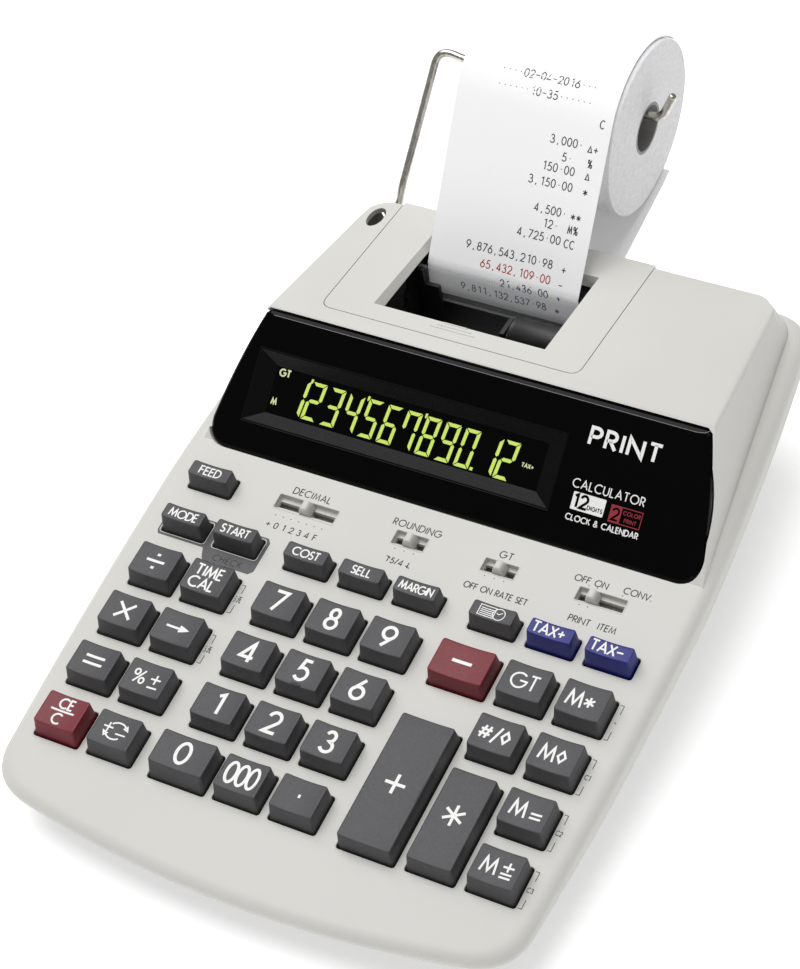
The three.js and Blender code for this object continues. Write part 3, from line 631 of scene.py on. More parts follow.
KEYS.update({
    "key_0": ("wide", NUMBER_X - 22.1, -2 * ROW),
    "key_000": ("normal", NUMBER_X, -2 * ROW),
    "key_point": ("normal", NUMBER_X + PITCH, -2 * ROW),
    "key_cost": ("small", NUMBER_X - PITCH, SMALL_ROW),
    "key_sell": ("small", NUMBER_X + 0.5, SMALL_ROW),
    "key_margin": ("small", NUMBER_X + PITCH + 0.5, SMALL_ROW),
    "key_arrow": ("normal", LEFT_X, 0),
    "key_time_calendar": ("normal", LEFT_X, ROW),
    "key_percent": ("normal", LEFT_X, -ROW),
    "key_sign_swap": ("normal", LEFT_X, -2 * ROW),
    "key_start": ("small", LEFT_X, SMALL_ROW),
    "key_divide": ("normal", LEFT_X - PITCH, ROW),
    "key_times": ("normal", LEFT_X - PITCH, 0),
    "key_equals": ("normal", LEFT_X - PITCH, -ROW),
    "key_clear": ("normal", LEFT_X - PITCH, -2 * ROW),
    "key_mode": ("small", LEFT_X - PITCH, SMALL_ROW),
    "key_feed": ("small", LEFT_X - PITCH, FEED_ROW),
    "key_minus": ("minus", PLUS_X, 20.9),
    "key_plus": ("plus", PLUS_X, -25.2),
    "key_clock": ("small", PLUS_X + 1.4, SMALL_ROW),
    "key_tax_plus": ("small", FUNCTION_X, SMALL_ROW),
    "key_tax_minus": ("small", FUNCTION_X + PITCH, SMALL_ROW),
    "key_grand_total": ("normal", FUNCTION_X, ROW),
    "key_subtotal": ("normal", FUNCTION_X, 0),
    "key_total": ("total", FUNCTION_X, -31.2),
    "key_memory_total": ("normal", FUNCTION_X + PITCH, ROW),
    "key_memory_subtotal": ("normal", FUNCTION_X + PITCH, 0),
    "key_memory_minus": ("normal", FUNCTION_X + PITCH, -ROW),
    "key_memory_plus": ("normal", FUNCTION_X + PITCH, -2 * ROW),
})
KEY_FINISH = {name: (KEY_GREY, "key_grey") for name in KEYS}
KEY_FINISH.update({"key_clear": (KEY_RED, "key_red"), "key_minus": (KEY_RED, "key_red"),
                   "key_tax_plus": (KEY_BLUE, "key_blue"), "key_tax_minus": (KEY_BLUE, "key_blue")})

SWITCHES = {
    "knob_decimal": (NUMBER_X - 32.6, 0.0, 23.2, 5.9),
    "knob_rounding": (NUMBER_X + 7.2, 0.0, 12.2, 5.7),
    "knob_grand_total": (NUMBER_X + 40.6, 0.0, 12.4, 5.4),
    "knob_print": (NUMBER_X + 77.2, -3.0, 17.3, 5.4),
}


# ---------------------------------------------------------------- upper case
def hull(name, points, bevels, place=None):
    """Convex solid of points; bevels are (test of an edge's direction and middle, width, segments)."""
    shell = bmesh.new()
    for point in points:
        shell.verts.new(point)
    bmesh.ops.convex_hull(shell, input=shell.verts)
    bmesh.ops.dissolve_limit(shell, angle_limit=math.radians(1), verts=shell.verts, edges=shell.edges)
    for test, width, segments in bevels:
        edges = [e for e in shell.edges
                 if test((e.verts[0].co + e.verts[1].co) / 2, (e.verts[1].co - e.verts[0].co).normalized())]
        bmesh.ops.bevel(shell, geom=edges, offset=width, segments=segments, profile=0.5, affect="EDGES")
    bmesh.ops.triangulate(shell, faces=shell.faces)
    mesh = bpy.data.meshes.new(name)
    shell.to_mesh(mesh)
    shell.free()
    return link(name, mesh, CASE)


def housing_points(inset):
    slope = (ROOF_FRONT[1] - PANEL_FOOT[1]) / (ROOF_FRONT[0] - PANEL_FOOT[0])
    fall = (ROOF_REAR[1] - ROOF_FRONT[1]) / (ROOF_REAR[0] - ROOF_FRONT[0])
    back = (REAR_U - ROOF_REAR[0]) / (ROOF_REAR[1] + RIM_DROP)
    low = -RIM_DROP - 6

    def panel_u(n):
        return PANEL_FOOT[0] + n / slope + inset * math.hypot(1, 1 / slope)

    def roof_n(u):
        return ROOF_FRONT[1] + (u - ROOF_FRONT[0]) * fall - inset

    def rear_u(n):
        return ROOF_REAR[0] + (ROOF_REAR[1] - n) * back - inset

    top = ROOF_FRONT[1] - inset * (1 + fall * math.hypot(1, 1 / slope))
    edge = roof_n(ROOF_REAR[0] - inset)
    profile = [(panel_u(low), low), (panel_u(top), top), (rear_u(edge), edge), (rear_u(low), low)]
    points = []
    for u, n in profile:
        half = 104 - 0.13 * u - 0.19 * n - inset
        points += [(half, u, n), (-half, u, n)]
    return points


def is_roof_side(middle, direction):
    return abs(middle.x) > 20 and middle.z > 8 and abs(direction.y) > 0.9


def is_roof_rear(middle, direction):
    return abs(middle.x) < 5 and middle.y > 170 and middle.z > 5 and abs(direction.x) > 0.9


def is_roof_front(middle, direction):
    return abs(middle.x) < 5 and 100 < middle.y < 130 and middle.z > 20 and abs(direction.x) > 0.9


def is_rear_corner(middle, direction):
    return middle.y > 175 and abs(middle.x) > 50 and abs(direction.z) > 0.7


def quarter(radius, steps=6):
    return [(radius * (1 - math.sin(math.pi / 2 * i / steps)),
             radius * (1 - math.cos(math.pi / 2 * i / steps)))
            for i in range(steps + 1)]


slab_rings = [ring_at(case_outline(0), -RIM_DROP - 2)]
for drop, inset in quarter(3.6):
    slab_rings.append(ring_at(case_outline(inset * 1.25), -drop))
top_case = loft("top_case_shell", slab_rings, CASE)
housing = hull("housing", housing_points(0), [
    (is_rear_corner, 9.0, 6), (is_roof_side, 1.3, 3), (is_roof_rear, 2.2, 3), (is_roof_front, 0.7, 2)])
combine(housing, prism("plan", case_outline(1.0), -40, 60, CASE), "INTERSECT")
combine(top_case, housing, "UNION")
hollow = prism("hollow", case_outline(WALL), -40, -WALL, CASE)
combine(top_case, hollow, "DIFFERENCE")
inner = hull("inner", housing_points(WALL), [])
combine(inner, prism("plan", case_outline(1.0 + WALL), -40, 60, CASE), "INTERSECT")
combine(top_case, inner, "DIFFERENCE")
combine(top_case, block("below", -150, 150, -120, 250, -80, -RIM_DROP, CASE), "DIFFERENCE")

CLEARANCE = 0.5


def key_hole(name, grow=CLEARANCE):
    kind, x, u = KEYS[name]
    width, depth = KEY_CLASSES[kind]["base"]
    return rounded_rectangle(width + 2 * grow, depth + 2 * grow, 1.3, x, u, 4)


bosses = joined(*[block(f"boss_{name}", x - length / 2 - 2, x + length / 2 + 2, SWITCH_U - width / 2 - 2,
                        SWITCH_U + width / 2 + 2, -3.8, -1, CASE)
                  for name, (x, rest, length, width) in SWITCHES.items()])
combine(top_case, bosses, "UNION")
pockets = joined(*[prism(f"pocket_{name}", rounded_rectangle(length, width, 0.5, x, SWITCH_U), -2.2, 12, CASE)
                   for name, (x, rest, length, width) in SWITCHES.items()])
combine(top_case, pockets, "DIFFERENCE")
slots = joined(*[prism(f"slot_{name}", rounded_rectangle(length - 0.6, 2.4, 0.3, x, SWITCH_U), -9, 2, CASE)
                 for name, (x, rest, length, width) in SWITCHES.items()])
combine(top_case, slots, "DIFFERENCE")
holes = joined(*[prism(f"hole_{name}", key_hole(name), -10, 10, CASE) for name in KEYS])
combine(top_case, holes, "DIFFERENCE")


# ---------------------------------------------------------------- display panel outline
# The black panel reaches a little further on its left than on its right.
PANEL_LEFT_SPREAD = 1.018


def panel_outline(grow):
    """Outline of the black panel: x, and v up the slope from the deck."""
    top, foot = PANEL_LENGTH - 1.4 + grow, -1.0 - grow
    right = [(0, foot), (42, foot), (84.6, foot)]
    right += bezier(right[-1], (91.8 + grow, foot + 0.5), (91.8 + grow, 8), 8)
    right += bezier(right[-1], (88.6 + grow, 30), (82.8 + grow, top - 1.5), 10)
    right += [(80.9 + grow, top), (40, top), (0, top)]
    left = [(-x * PANEL_LEFT_SPREAD if x > 50 else -x, y) for x, y in reversed(right[1:-1])]
    return right + left


COVER_LEFT, COVER_RIGHT, COVER_FRONT = -66.5, 31.2, 5.8
TO_ROOF = DECK.inverted() @ ROOF


def cover_outline(grow, rear):
    left, right, front, corner = COVER_LEFT - grow, COVER_RIGHT + grow, COVER_FRONT - grow, 4 + grow
    points = [(left + corner, front), (right - corner, front)]
    points += bezier(points[-1], (right, front), (right, front + corner), 5)
    points += [(right, rear), (left, rear), (left, front + corner)]
    points += bezier(points[-1], (left, front), (left + corner, front), 5)[:-1]
    return points


def cut(points, low, high, place):
    cutter = prism("cutter", points, low, high, CASE)
    cutter.data.transform(place)
    combine(top_case, cutter, "DIFFERENCE")


cut(panel_outline(0.3), -9, 8, DECK.inverted() @ PANEL)
cut(cover_outline(0.3, ROOF_LENGTH + 9), -3.1, 8, TO_ROOF)
TO_DESK = DECK.inverted() @ DESK
web = block("web", -49, 18, 178, 204, 52.2, 57.4, CASE, None, 1.5)
web.data.transform(TO_DESK)
combine(top_case, web, "DIFFERENCE")
HOLDER_X, SOCKET_Z = -75.5, 60.0
socket = tube("socket", [(HOLDER_X, 170, SOCKET_Z), (HOLDER_X, 200, SOCKET_Z)], 1.9, CASE, None, 24)
socket.data.transform(TO_DESK)
combine(top_case, socket, "DIFFERENCE")
GRIP = (-72.4, 173.3)
grip = prism("grip", [(GRIP[0] + 2.9 * math.cos(a), GRIP[1] + 5.2 * math.sin(a))
                      for a in [2 * math.pi * k / 32 for k in range(32)]], 4, 30, CASE)
combine(top_case, grip, "DIFFERENCE")
for vertex in top_case.data.vertices:
    vertex.co.z = front_rise(vertex.co.y, vertex.co.z)
top_case.data.transform(DECK)
finish_piece(top_case, "case", "case_light", 30.0, ("top_case",))

# Softened lips round the key holes and the switch pockets.
lips = []
for name in KEYS:
    path = [(x, y, -0.22) for x, y in key_hole(name, CLEARANCE + 0.12)]
    lips.append(tube(f"lip_{name}", path, 0.36, CASE, DECK, 8, True))
for name, (x, rest, length, width) in SWITCHES.items():
    path = [(px, py, -0.15) for px, py in rounded_rectangle(length + 0.2, width + 0.2, 0.6, x, SWITCH_U)]
    lips.append(tube(f"lip_{name}", path, 0.3, CASE, DECK, 8, True))
finish_piece(joined(*lips), "case", "case_light", 60.0).name = "hole_lips"

# ---------------------------------------------------------------- display panel
WINDOW_OUTER = (-82.6, 35.9, 9.4, 35.6)
WINDOW_INNER = (-75.3, 28.9, 14.2, 30.7)
WINDOW_DEPTH = 2.9


def corners(box, n):
    left, right, low, high = box
    return [(left, low, n), (right, low, n), (right, high, n), (left, high, n)]


TOP_STRIP = 3.4
rings = []
for inset, depth in ((0.25, -3.0), (0.0, -2.6), (0.0, -1.6), (0.35, -0.7), (1.0, -0.2), (2.0, 0.0)):
    rings.append([(x, y, depth) for x, y in panel_outline(-inset)])
panel = loft("panel_face", rings, GLOSS)
wedge_top = PANEL_LENGTH - TOP_STRIP
wedge = build("wedge", [(-99, wedge_top, 0.001), (99, wedge_top, 0.001), (99, wedge_top + 8, -4.2),
                        (-99, wedge_top + 8, -4.2), (-99, wedge_top - 2, 6), (99, wedge_top - 2, 6),
                        (99, wedge_top + 8, 6), (-99, wedge_top + 8, 6)],
              [(0, 1, 2, 3), (4, 5, 6, 7), (0, 1, 5, 4), (1, 2, 6, 5), (2, 3, 7, 6), (3, 0, 4, 7)], GLOSS)
combine(panel, wedge, "DIFFERENCE")
well = prism("well", [(x, y) for x, y, n in corners((-79.0, 32.6, 11.6, 33.2), 0)], -8, 6, GLOSS)
combine(panel, well, "DIFFERENCE")
recess = loft("recess", [corners(WINDOW_INNER, -WINDOW_DEPTH), corners(WINDOW_OUTER, 0.02),
                         corners(WINDOW_OUTER, 4)], GLOSS)
combine(panel, recess, "DIFFERENCE")
panel.data.transform(PANEL)
finish_piece(panel, "case", "panel_gloss", 14.0, ("display_window",))

frame_rings = [corners((-82.4, 35.7, 9.6, 35.4), -0.06), corners((-81.8, 35.1, 10.1, 34.9), -0.1),
               corners((-75.9, 29.5, 13.8, 31.1), -WINDOW_DEPTH + 0.25), corners(WINDOW_INNER, -WINDOW_DEPTH),
               corners(WINDOW_INNER, -WINDOW_DEPTH - 0.3), corners((-82.4, 35.7, 9.6, 35.4),
                                                                   -WINDOW_DEPTH - 0.3)]
surround = loft("window_frame", frame_rings, RECESS, PANEL, closed=True)
finish_piece(surround, "case", "panel_gloss", 10.0)
glass = loft("display_glass", [corners((-76.3, 29.9, 13.2, 31.7), -WINDOW_DEPTH - 1.4),
                               corners((-76.3, 29.9, 13.2, 31.7), -WINDOW_DEPTH - 0.3),
                               corners((-75.9, 29.5, 13.6, 31.3), -WINDOW_DEPTH - 0.12)], GLASS, PANEL)
finish_piece(glass, "case", "display_glass", 20.0)

# A thin ridge under the top strip, painted a light grey as the highlight that its polished edge would catch.
ridge_v = wedge_top - 0.05
ridge = tube("panel_ridge", [(-80.6, ridge_v, -0.1), (0, ridge_v, -0.1), (78, ridge_v, -0.1),
                             (80.6, ridge_v + 0.5, -0.15), (82.0, ridge_v + 1.6, -0.8)],
             0.14, RIDGE_PAINTED_HIGHLIGHT, PANEL, 8)
finish_piece(ridge, "case", "panel_gloss", 60.0)

DIGIT_TOP, DIGIT_HEIGHT, DIGIT_SLANT = 28.9, 13.3, 0.11
DIGIT_WIDTH, DIGIT_PITCH, FIRST_DIGIT = 5.6, 7.43, -67.9
SEGMENTS = {"0": "abcdef", "1": "bc", "2": "abged", "3": "abgcd", "4": "fgbc", "5": "afgcd",
            "6": "afgedc", "7": "abcf", "8": "abcdefg", "9": "abcdfg"}


def segment_polygons(character):
    w, h, t, g = DIGIT_WIDTH, DIGIT_HEIGHT, 1.22, 0.22
    m = h / 2
    shapes = {
        "a": [(g, h), (w - g, h), (w - t - g, h - t), (t + g, h - t)],
        "d": [(t + g, t), (w - t - g, t), (w - g, 0), (g, 0)],
        "g": [(t * 0.5 + g, m), (t + g, m + t / 2), (w - t - g, m + t / 2), (w - t / 2 - g, m),
              (w - t - g, m - t / 2), (t + g, m - t / 2)],
        "f": [(0, h - g), (t, h - t - g), (t, m + t / 2 + g), (t / 2, m + g), (0, m + t / 2 + g)],
        "b": [(w, h - g), (w - t, h - t - g), (w - t, m + t / 2 + g), (w - t / 2, m + g), (w, m + t / 2 + g)],
        "e": [(0, g), (t, t + g), (t, m - t / 2 - g), (t / 2, m - g), (0, m - t / 2 - g)],
        "c": [(w, g), (w - t, t + g), (w - t, m - t / 2 - g), (w - t / 2, m - g), (w, m - t / 2 - g)],
    }
    return [shapes[s] for s in SEGMENTS[character]]


def polygons_piece(name, polygons, place, base, material, body, slot, thick=0.08):
    vertices, faces = [], []
    for polygon in polygons:
        start, count = len(vertices), len(polygon)
        vertices += [(x, y, base) for x, y in polygon] + [(x, y, base + thick) for x, y in polygon]
        faces.append(tuple(start + i for i in reversed(range(count))))
        faces.append(tuple(start + count + i for i in range(count)))
        for i in range(count):
            j = (i + 1) % count
            faces.append((start + i, start + j, start + count + j, start + count + i))
    return finish_piece(build(name, vertices, faces, material, place), body, slot, 30.0)


def slanted(points, dx, base):
    return [(dx + x + (y - DIGIT_HEIGHT) * DIGIT_SLANT, base + y) for x, y in points]


digit_base = DIGIT_TOP - DIGIT_HEIGHT
lit = []
for index, character in enumerate("123456789012"):
    left = FIRST_DIGIT + index * DIGIT_PITCH
    base = digit_base - 0.9 * index / 11
    for polygon in segment_polygons(character):
        lit.append(slanted(polygon, left + (1.2 if character == "1" else 0), base))
    if index in (0, 3, 6):
        tick = [(6.5, 13.9), (7.3, 13.9), (7.3, 12.8), (6.8, 12.1), (6.5, 12.7)]
        lit.append(slanted(tick, left, base))
    if index == 9:
        lit.append(slanted([(6.2, 0), (7.3, 0), (7.3, 1.1), (6.2, 1.1)], left, base))
polygons_piece("display_digits", lit, PANEL, -WINDOW_DEPTH - 0.1, LIT, "case", "display_glass")
face_level = -WINDOW_DEPTH - 0.1
ink("display_gt", centred("GT", -71.9, 28.9, 2.3, 0.2), 0.55, on(PANEL, face_level), LIT_DIM, "case",
    "display_glass")
ink("display_m", centred("M", -73.3, 18.6, 2.1, 0.2), 0.45, on(PANEL, face_level), LIT_DIM, "case",
    "display_glass")
ink("display_tax", centred("TAX+", 23.6, 21.5, 1.35, 0.2), 0.3, on(PANEL, face_level), LIT_DIM, "case",
    "display_glass")

# Generic wording on the panel: what the object is and what it does.
ink("panel_word_print", centred("PRINT", 55.7, 36.9, 5.6, 0.3, 1.25), 1.15, on(PANEL), WHITE_INK, "case",
    "panel_gloss")
ink("panel_word_calculator", centred("CALCULATOR", 54.6, 20.8, 2.8, 0.26), 0.38, on(PANEL), WHITE_INK, "case",
    "panel_gloss")
ink("panel_word_calendar", centred("CLOCK & CALENDAR", 55.3, 9.6, 1.85, 0.24), 0.38, on(PANEL), WHITE_INK,
    "case", "panel_gloss")


def badge(name, x0, x1, y0, y1, material):
    return finish_piece(prism(name, rounded_rectangle(x1 - x0, y1 - y0, 0.4, (x0 + x1) / 2, (y0 + y1) / 2),
                              -0.1, 0.06, material, PANEL), "case", "panel_gloss", 30.0)


badge("badge_digits_ground", 43.0, 54.7, 12.2, 18.1, WHITE_INK)
ink("badge_digits_number", centred("12", 46.2, 15.3, 4.2, 0.3), 0.85, on(PANEL, 0.06), GLOSS, "case",
    "panel_gloss")
ink("badge_digits_word", centred("DIGITS", 51.5, 14.0, 1.25, 0.28), 0.26, on(PANEL, 0.06), GLOSS, "case",
    "panel_gloss")
badge("badge_ink_ground", 56.9, 60.7, 11.8, 17.3, BADGE_RED)
outline_box = [[(56.9, 11.8), (67.9, 11.8), (67.9, 17.3), (56.9, 17.3), "closed"]]
ink("badge_ink_outline", outline_box, 0.3, on(PANEL), BADGE_RED, "case", "panel_gloss")
ink("badge_ink_number", centred("2", 58.8, 14.5, 3.8, 0.2), 0.65, on(PANEL, 0.06), GLOSS, "case",
    "panel_gloss")
ink("badge_ink_words", centred("COLOR", 64.4, 15.7, 1.2, 0.3) + centred("PRINT", 64.4, 13.3, 1.2, 0.3), 0.24,
    on(PANEL), BADGE_RED, "case", "panel_gloss")

# ---------------------------------------------------------------- keys
def key_top(kind, x0, u0):
    """Height of a key's dished top at (x, y), as a placer for ink."""
    size = KEY_CLASSES[kind]
    half = size["top"][0] / 2

    def place(x, y, lift):
        share = min(1.0, abs(x - x0) / half)
        return DECK @ Vector((x, y, size["height"] - size["dish"] * (1 - share * share) + lift))
    return place


def key_cap(name):
    kind, x0, u0 = KEYS[name]
    size = KEY_CLASSES[kind]
    (bw, bd), (tw, td), height, back, dish = (size["base"], size["top"], size["height"], size["back"],
                                              size["dish"])

    def outline(width, depth, corner, shift):
        return rounded_rectangle(width, depth, corner, x0, u0 + shift, 4, 6)

    rings = [ring_at(outline(bw - 1.6, bd - 1.6, 0.6, 0), -5.9), ring_at(outline(bw - 0.5, bd - 0.5, 1.1,
                                                                                 0), -5.9),
             ring_at(outline(bw - 0.5, bd - 0.5, 1.1, 0), -0.4)]
    for share in (0.5, 1.0):
        width, depth = bw - 0.5 + (tw - bw + 0.5) * share, bd - 0.5 + (td - bd + 0.5) * share
        points = outline(width, depth, 1.0, back * share)
        rings.append([(x, y, -0.4 + (height - 0.15) * share - share * share * sag(x - x0, tw, dish))
                      for x, y in points])
    for grow, drop in ((0.1, 0.2), (0.32, 0.05), (0.6, 0.0)):
        points = outline(tw - 2 * grow, td - 2 * grow, max(0.3, 0.9 - grow * 0.5), back)
        rings.append([(x, y, height - drop - sag(x - x0, tw, dish)) for x, y in points])
    for share in (0.66, 0.33, 0.0):
        rings.append([(x, u0 + back + (y - u0 - back) * share, height - sag(x - x0, tw, dish))
                      for x, y in outline(tw - 1.2, td - 1.2, 0.6, back)])
    material, slot = KEY_FINISH[name]
    cap = loft(f"{name}_cap", rings, material, DECK)
    shell = bmesh.new()
    shell.from_mesh(cap.data)
    shell.faces.ensure_lookup_table()
    bmesh.ops.delete(shell, geom=[shell.faces[-1]], context="FACES_ONLY")
    bmesh.ops.remove_doubles(shell, verts=shell.verts, dist=1e-6)
    shell.to_mesh(cap.data)
    shell.free()
    finish_piece(cap, f"{name}_body", slot, 50.0, (name,))


def sag(x, width, dish):
    share = min(1.0, abs(x) / (width / 2))
    return dish * (1 - share * share)


for name in KEYS:
    key_cap(name)


def legend(name, strokes, width):
    kind, x0, u0 = KEYS[name]
    back = KEY_CLASSES[kind]["back"]
    lines = moved(strokes, x0, u0 + back)
    ink(f"{name}_legend", lines, width, key_top(kind, x0, u0), WHITE_INK, f"{name}_body", KEY_FINISH[name][1],
        1.2, 0.06)


for digit in range(10):
    name = f"key_{digit}"
    legend(name, centred(str(digit), 0, 0.1, 7.4), 1.15)
legend("key_000", centred("000", 0, 0.1, 7.3, 0.1, 0.74), 1.0)
legend("key_point", centred(":", 0.2, 0.4, 7.0), 1.15)
legend("key_cost", centred("COST", 0, 0, 2.9, 0.16), 0.5)
legend("key_sell", centred("SELL", 0, 0, 2.9, 0.2), 0.5)
legend("key_margin", centred("MARGIN", 0, 0, 2.9, 0.16, 0.88), 0.48)
legend("key_mode", centred("MODE", 0, 0, 3.0, 0.16), 0.5)
legend("key_start", centred("START", 0, 0, 3.0, 0.16), 0.5)
legend("key_feed", centred("FEED", 0, 0, 3.0, 0.2), 0.5)
legend("key_tax_plus", centred("TAX+", -0.8, 0.1, 3.7, 0.14), 0.6)
legend("key_tax_minus", centred("TAX-", -0.8, 0.1, 3.7, 0.14), 0.6)
legend("key_time_calendar", centred("TIME", -0.3, 2.4, 3.9, 0.2) + centred("CAL", -0.9, -2.5, 3.9, 0.18),
       0.66)
legend("key_grand_total", centred("GT", 0, 0, 5.3, 0.14), 0.65)
legend("key_subtotal", centred("#/<", -0.6, 0, 5.4, 0.14), 0.78)
legend("key_memory_total", centred("M*", -0.8, 0, 5.4, 0.16), 0.72)
legend("key_memory_subtotal", centred("M<", -0.8, 0, 5.3, 0.2), 0.72)
legend("key_minus", [[(-3.5, 0), (3.5, 0)]], 1.15)
legend("key_plus", [[(-3.5, -0.8), (3.5, -0.8)], [(0, -4.3), (0, 2.7)]], 1.1)
star = [[(3.7 * math.cos(math.radians(a)), 3.7 * math.sin(math.radians(a)) + 1.3),
         (-3.7 * math.cos(math.radians(a)), -3.7 * math.sin(math.radians(a)) + 1.3)] for a in (90, 30, 150)]
legend("key_total", star, 0.95)
legend("key_times", [[(-3.0, -2.9), (3.0, 2.9)], [(-3.0, 2.9), (3.0, -2.9)]], 1.0)
legend("key_equals", [[(-3.6, 1.4), (3.6, 1.4)], [(-3.6, -1.2), (3.6, -1.2)]], 0.95)
legend("key_divide", [[(-3.4, 0.1), (3.4, 0.1)], [(-0.6, 2.7), (0.6, 2.7)], [(-0.6, -2.5), (0.6, -2.5)]],
       0.95)
legend("key_percent", centred("%", -2.7, 0.2, 4.9) + moved([[(-1.9, 0.9), (1.9, 0.9)], [(0, 2.6), (0, -0.9)],
                                                             [(-1.9, -2.3), (1.9, -2.3)]], 3.4, -0.3), 0.62)
legend("key_clear", centred("CE", 0.2, 3.0, 3.5, 0.16) + [[(-4.4, 0.2), (4.4, 0.2)]]
       + centred("C", -0.6, -2.8, 3.7), 0.66)
legend("key_memory_minus", centred("M", -2.6, 0, 5.3)
       + moved([[(-1.9, 0.4), (1.9, 0.4)], [(-1.9, -1.1), (1.9, -1.1)]], 3.5, -0.7), 0.72)
legend("key_memory_plus", centred("M", -2.6, 0, 5.3) + moved(
    [[(-1.9, 1.6), (1.9, 1.6)], [(0, 3.3), (0, 0.1)], [(-1.9, -0.7), (1.9, -0.7)], [(-1.9, -2.0), (1.9,
                                                                                                   -2.0)]],
    3.5, -0.6), 0.68)


def arrow_head(x, y, angle, length, width):
    c, s = math.cos(math.radians(angle)), math.sin(math.radians(angle))
    return [[(x + length * c, y + length * s), (x - width * s, y + width * c), (x + width * s, y - width * c),
             "closed"]]


legend("key_arrow", [[(-4.0, 0), (1.8, 0)]] + arrow_head(1.2, 0, 0, 2.6, 0.85)
       + [[(1.2, 0), (3.0, 0)]], 0.8)
swap = moved([[(-1.7, 0), (1.7, 0)], [(0, -1.7), (0, 1.7)]], -2.7, 0.7) + [[(0.6, -0.9), (4.4, -0.9)]]
swap += [curve(0.6, 0.9, 3.0, 2.2, 150, 35)] + arrow_head(3.2, 2.0, -40, 1.4, 0.6)
swap += [curve(0.2, -0.9, 3.0, 2.2, 320, 205)] + arrow_head(-2.6, -2.0, 140, 1.4, 0.6)
legend("key_sign_swap", swap, 0.55)
sheet = [[(-4.9, -1.9), (-4.9, 1.9), (0.6, 1.9), (0.6, -1.9), "closed"]]
sheet += [[(-4.4, y), (0.2, y)] for y in (-1.2, -0.5, 0.2, 0.9)]
legend("key_clock", sheet + [ring_of(2.1, 0, 2.1, 2.1), [(2.1, 0), (3.2, 0.9)], [(2.1, 0), (1.2, 0.4)]], 0.3)

# The locating ring that stands up round the figure of the middle number key.
kind, five_x, five_u = KEYS["key_5"]
surface = key_top(kind, five_x, five_u)
nib = [surface(five_x + 1.6 * math.cos(a), five_u - 4.4 + 0.3 * math.sin(a), 0.1)
       for a in [2 * math.pi * k / 24 for k in range(24)]]
finish_piece(tube("key_5_nib", nib, 0.0003, KEY_GREY, None, 8, True), "key_5_body", "key_grey", 60.0)

# ---------------------------------------------------------------- slide switches
for name, (x, rest, length, width) in SWITCHES.items():
    cap = width / 2 - 0.4
    parts = [block(f"{name}_stem", x + rest - 1.6, x + rest + 1.6, SWITCH_U - 0.85, SWITCH_U + 0.85, -5.9,
                   -1.0,
                   CASE, None, 0.2)]
    rings = []
    for n, half, depth in ((-1.85, 2.0, cap), (-1.2, 2.0, cap), (0.4, 1.8, cap - 0.15), (1.7, 1.45,
                                                                                         cap - 0.4),
                           (2.35, 1.1, cap - 0.7), (2.6, 0.6, cap - 1.1)):
        rings.append(ring_at(rounded_rectangle(2 * half, 2 * depth, min(0.45, half * 0.5), x + rest,
                                               SWITCH_U, 3),
                             n))
    parts.append(loft(f"{name}_grip", rings, CASE))
    knob = joined(*parts)
    knob.data.transform(DECK)
    knob.name = f"{name}_grip"
    finish_piece(knob, f"{name}_body", "case_light", 40.0, (name,))

# A light plate closes each switch pocket from below.
plates = [block(f"pocket_{name}", x - length / 2 - 1, x + length / 2 + 1, SWITCH_U - width / 2 - 1,
                SWITCH_U + width / 2 + 1, -7.2, -6.4, CASE, DECK) for name, (x, rest, length, width)
          in SWITCHES.items()]
finish_piece(joined(*plates), "case", "case_light", 30.0).name = "pocket_plates"

# ---------------------------------------------------------------- printed words on the deck
SMALL, LINE = 2.5, 0.34
deck_ink = []


def deck_word(text, x, u, height=SMALL, spacing=0.26, squeeze=1.0, turn=0.0):
    deck_ink.extend(centred(text, x, u, height, spacing, squeeze, turn))


def dots(xs, u):
    deck_ink.extend([[(x - 0.17, u), (x + 0.17, u)] for x in xs])


decimal_x, rounding_x = SWITCHES["knob_decimal"][0], SWITCHES["knob_rounding"][0]
total_x, print_x = SWITCHES["knob_grand_total"][0], SWITCHES["knob_print"][0]
deck_word("DECIMAL", decimal_x - 0.5, SWITCH_U + 5.6)
for i, mark in enumerate("+01234F"):
    deck_word(mark, decimal_x - 9.7 + 3.0 * i, SWITCH_U - 9.6, 2.2)
dots([decimal_x - 9 + 3.0 * i for i in range(7)], SWITCH_U - 5.6)
deck_word("ROUNDING", rounding_x + 0.2, SWITCH_U + 5.6)
deck_word("5/4", rounding_x - 0.4, SWITCH_U - 8.9, 2.1)
dots([rounding_x - 3.5, rounding_x, rounding_x + 3.5], SWITCH_U - 4.3)
for side in (-1, 1):
    ax = rounding_x + side * 4.2
    deck_ink += [[(ax - 0.4 * side, SWITCH_U - 9.8), (ax - 0.4 * side, SWITCH_U - 7.9)],
                 [(ax - 1.0 * side, SWITCH_U - 8.85 - side * 0.45), (ax - 0.4 * side,
                                                                     SWITCH_U - 8.85 - side * 1.0),
                  (ax + 0.5 * side, SWITCH_U - 8.85 - side * 1.0)]]
deck_word("GT", total_x, SWITCH_U + 5.4)
dots([total_x - 3.5, total_x, total_x + 3.5], SWITCH_U - 4.1)
deck_word("OFF ON RATE SET", total_x + 2.9, SWITCH_U - 9.1, 2.2, 0.2, 0.92)
deck_word("OFF ON", print_x - 5.8, SWITCH_U + 5.4, 2.3, 0.22)
dots([print_x - 6, print_x - 3, print_x + 6], SWITCH_U + 3.7)
deck_word("CONV.", print_x + 10.5, SWITCH_U + 5.9, 2.3, 0.22)
dots([print_x - 6, print_x - 3], SWITCH_U - 3.9)
deck_word("PRINT  ITEM", print_x + 1.2, SWITCH_U - 9.4, 2.3, 0.22)
ink("deck_words", deck_ink, LINE, on(DECK), DARK_INK, "case", "case_dark", 3.0)

# Brackets that tie marks to the keys on their left.
brackets = []


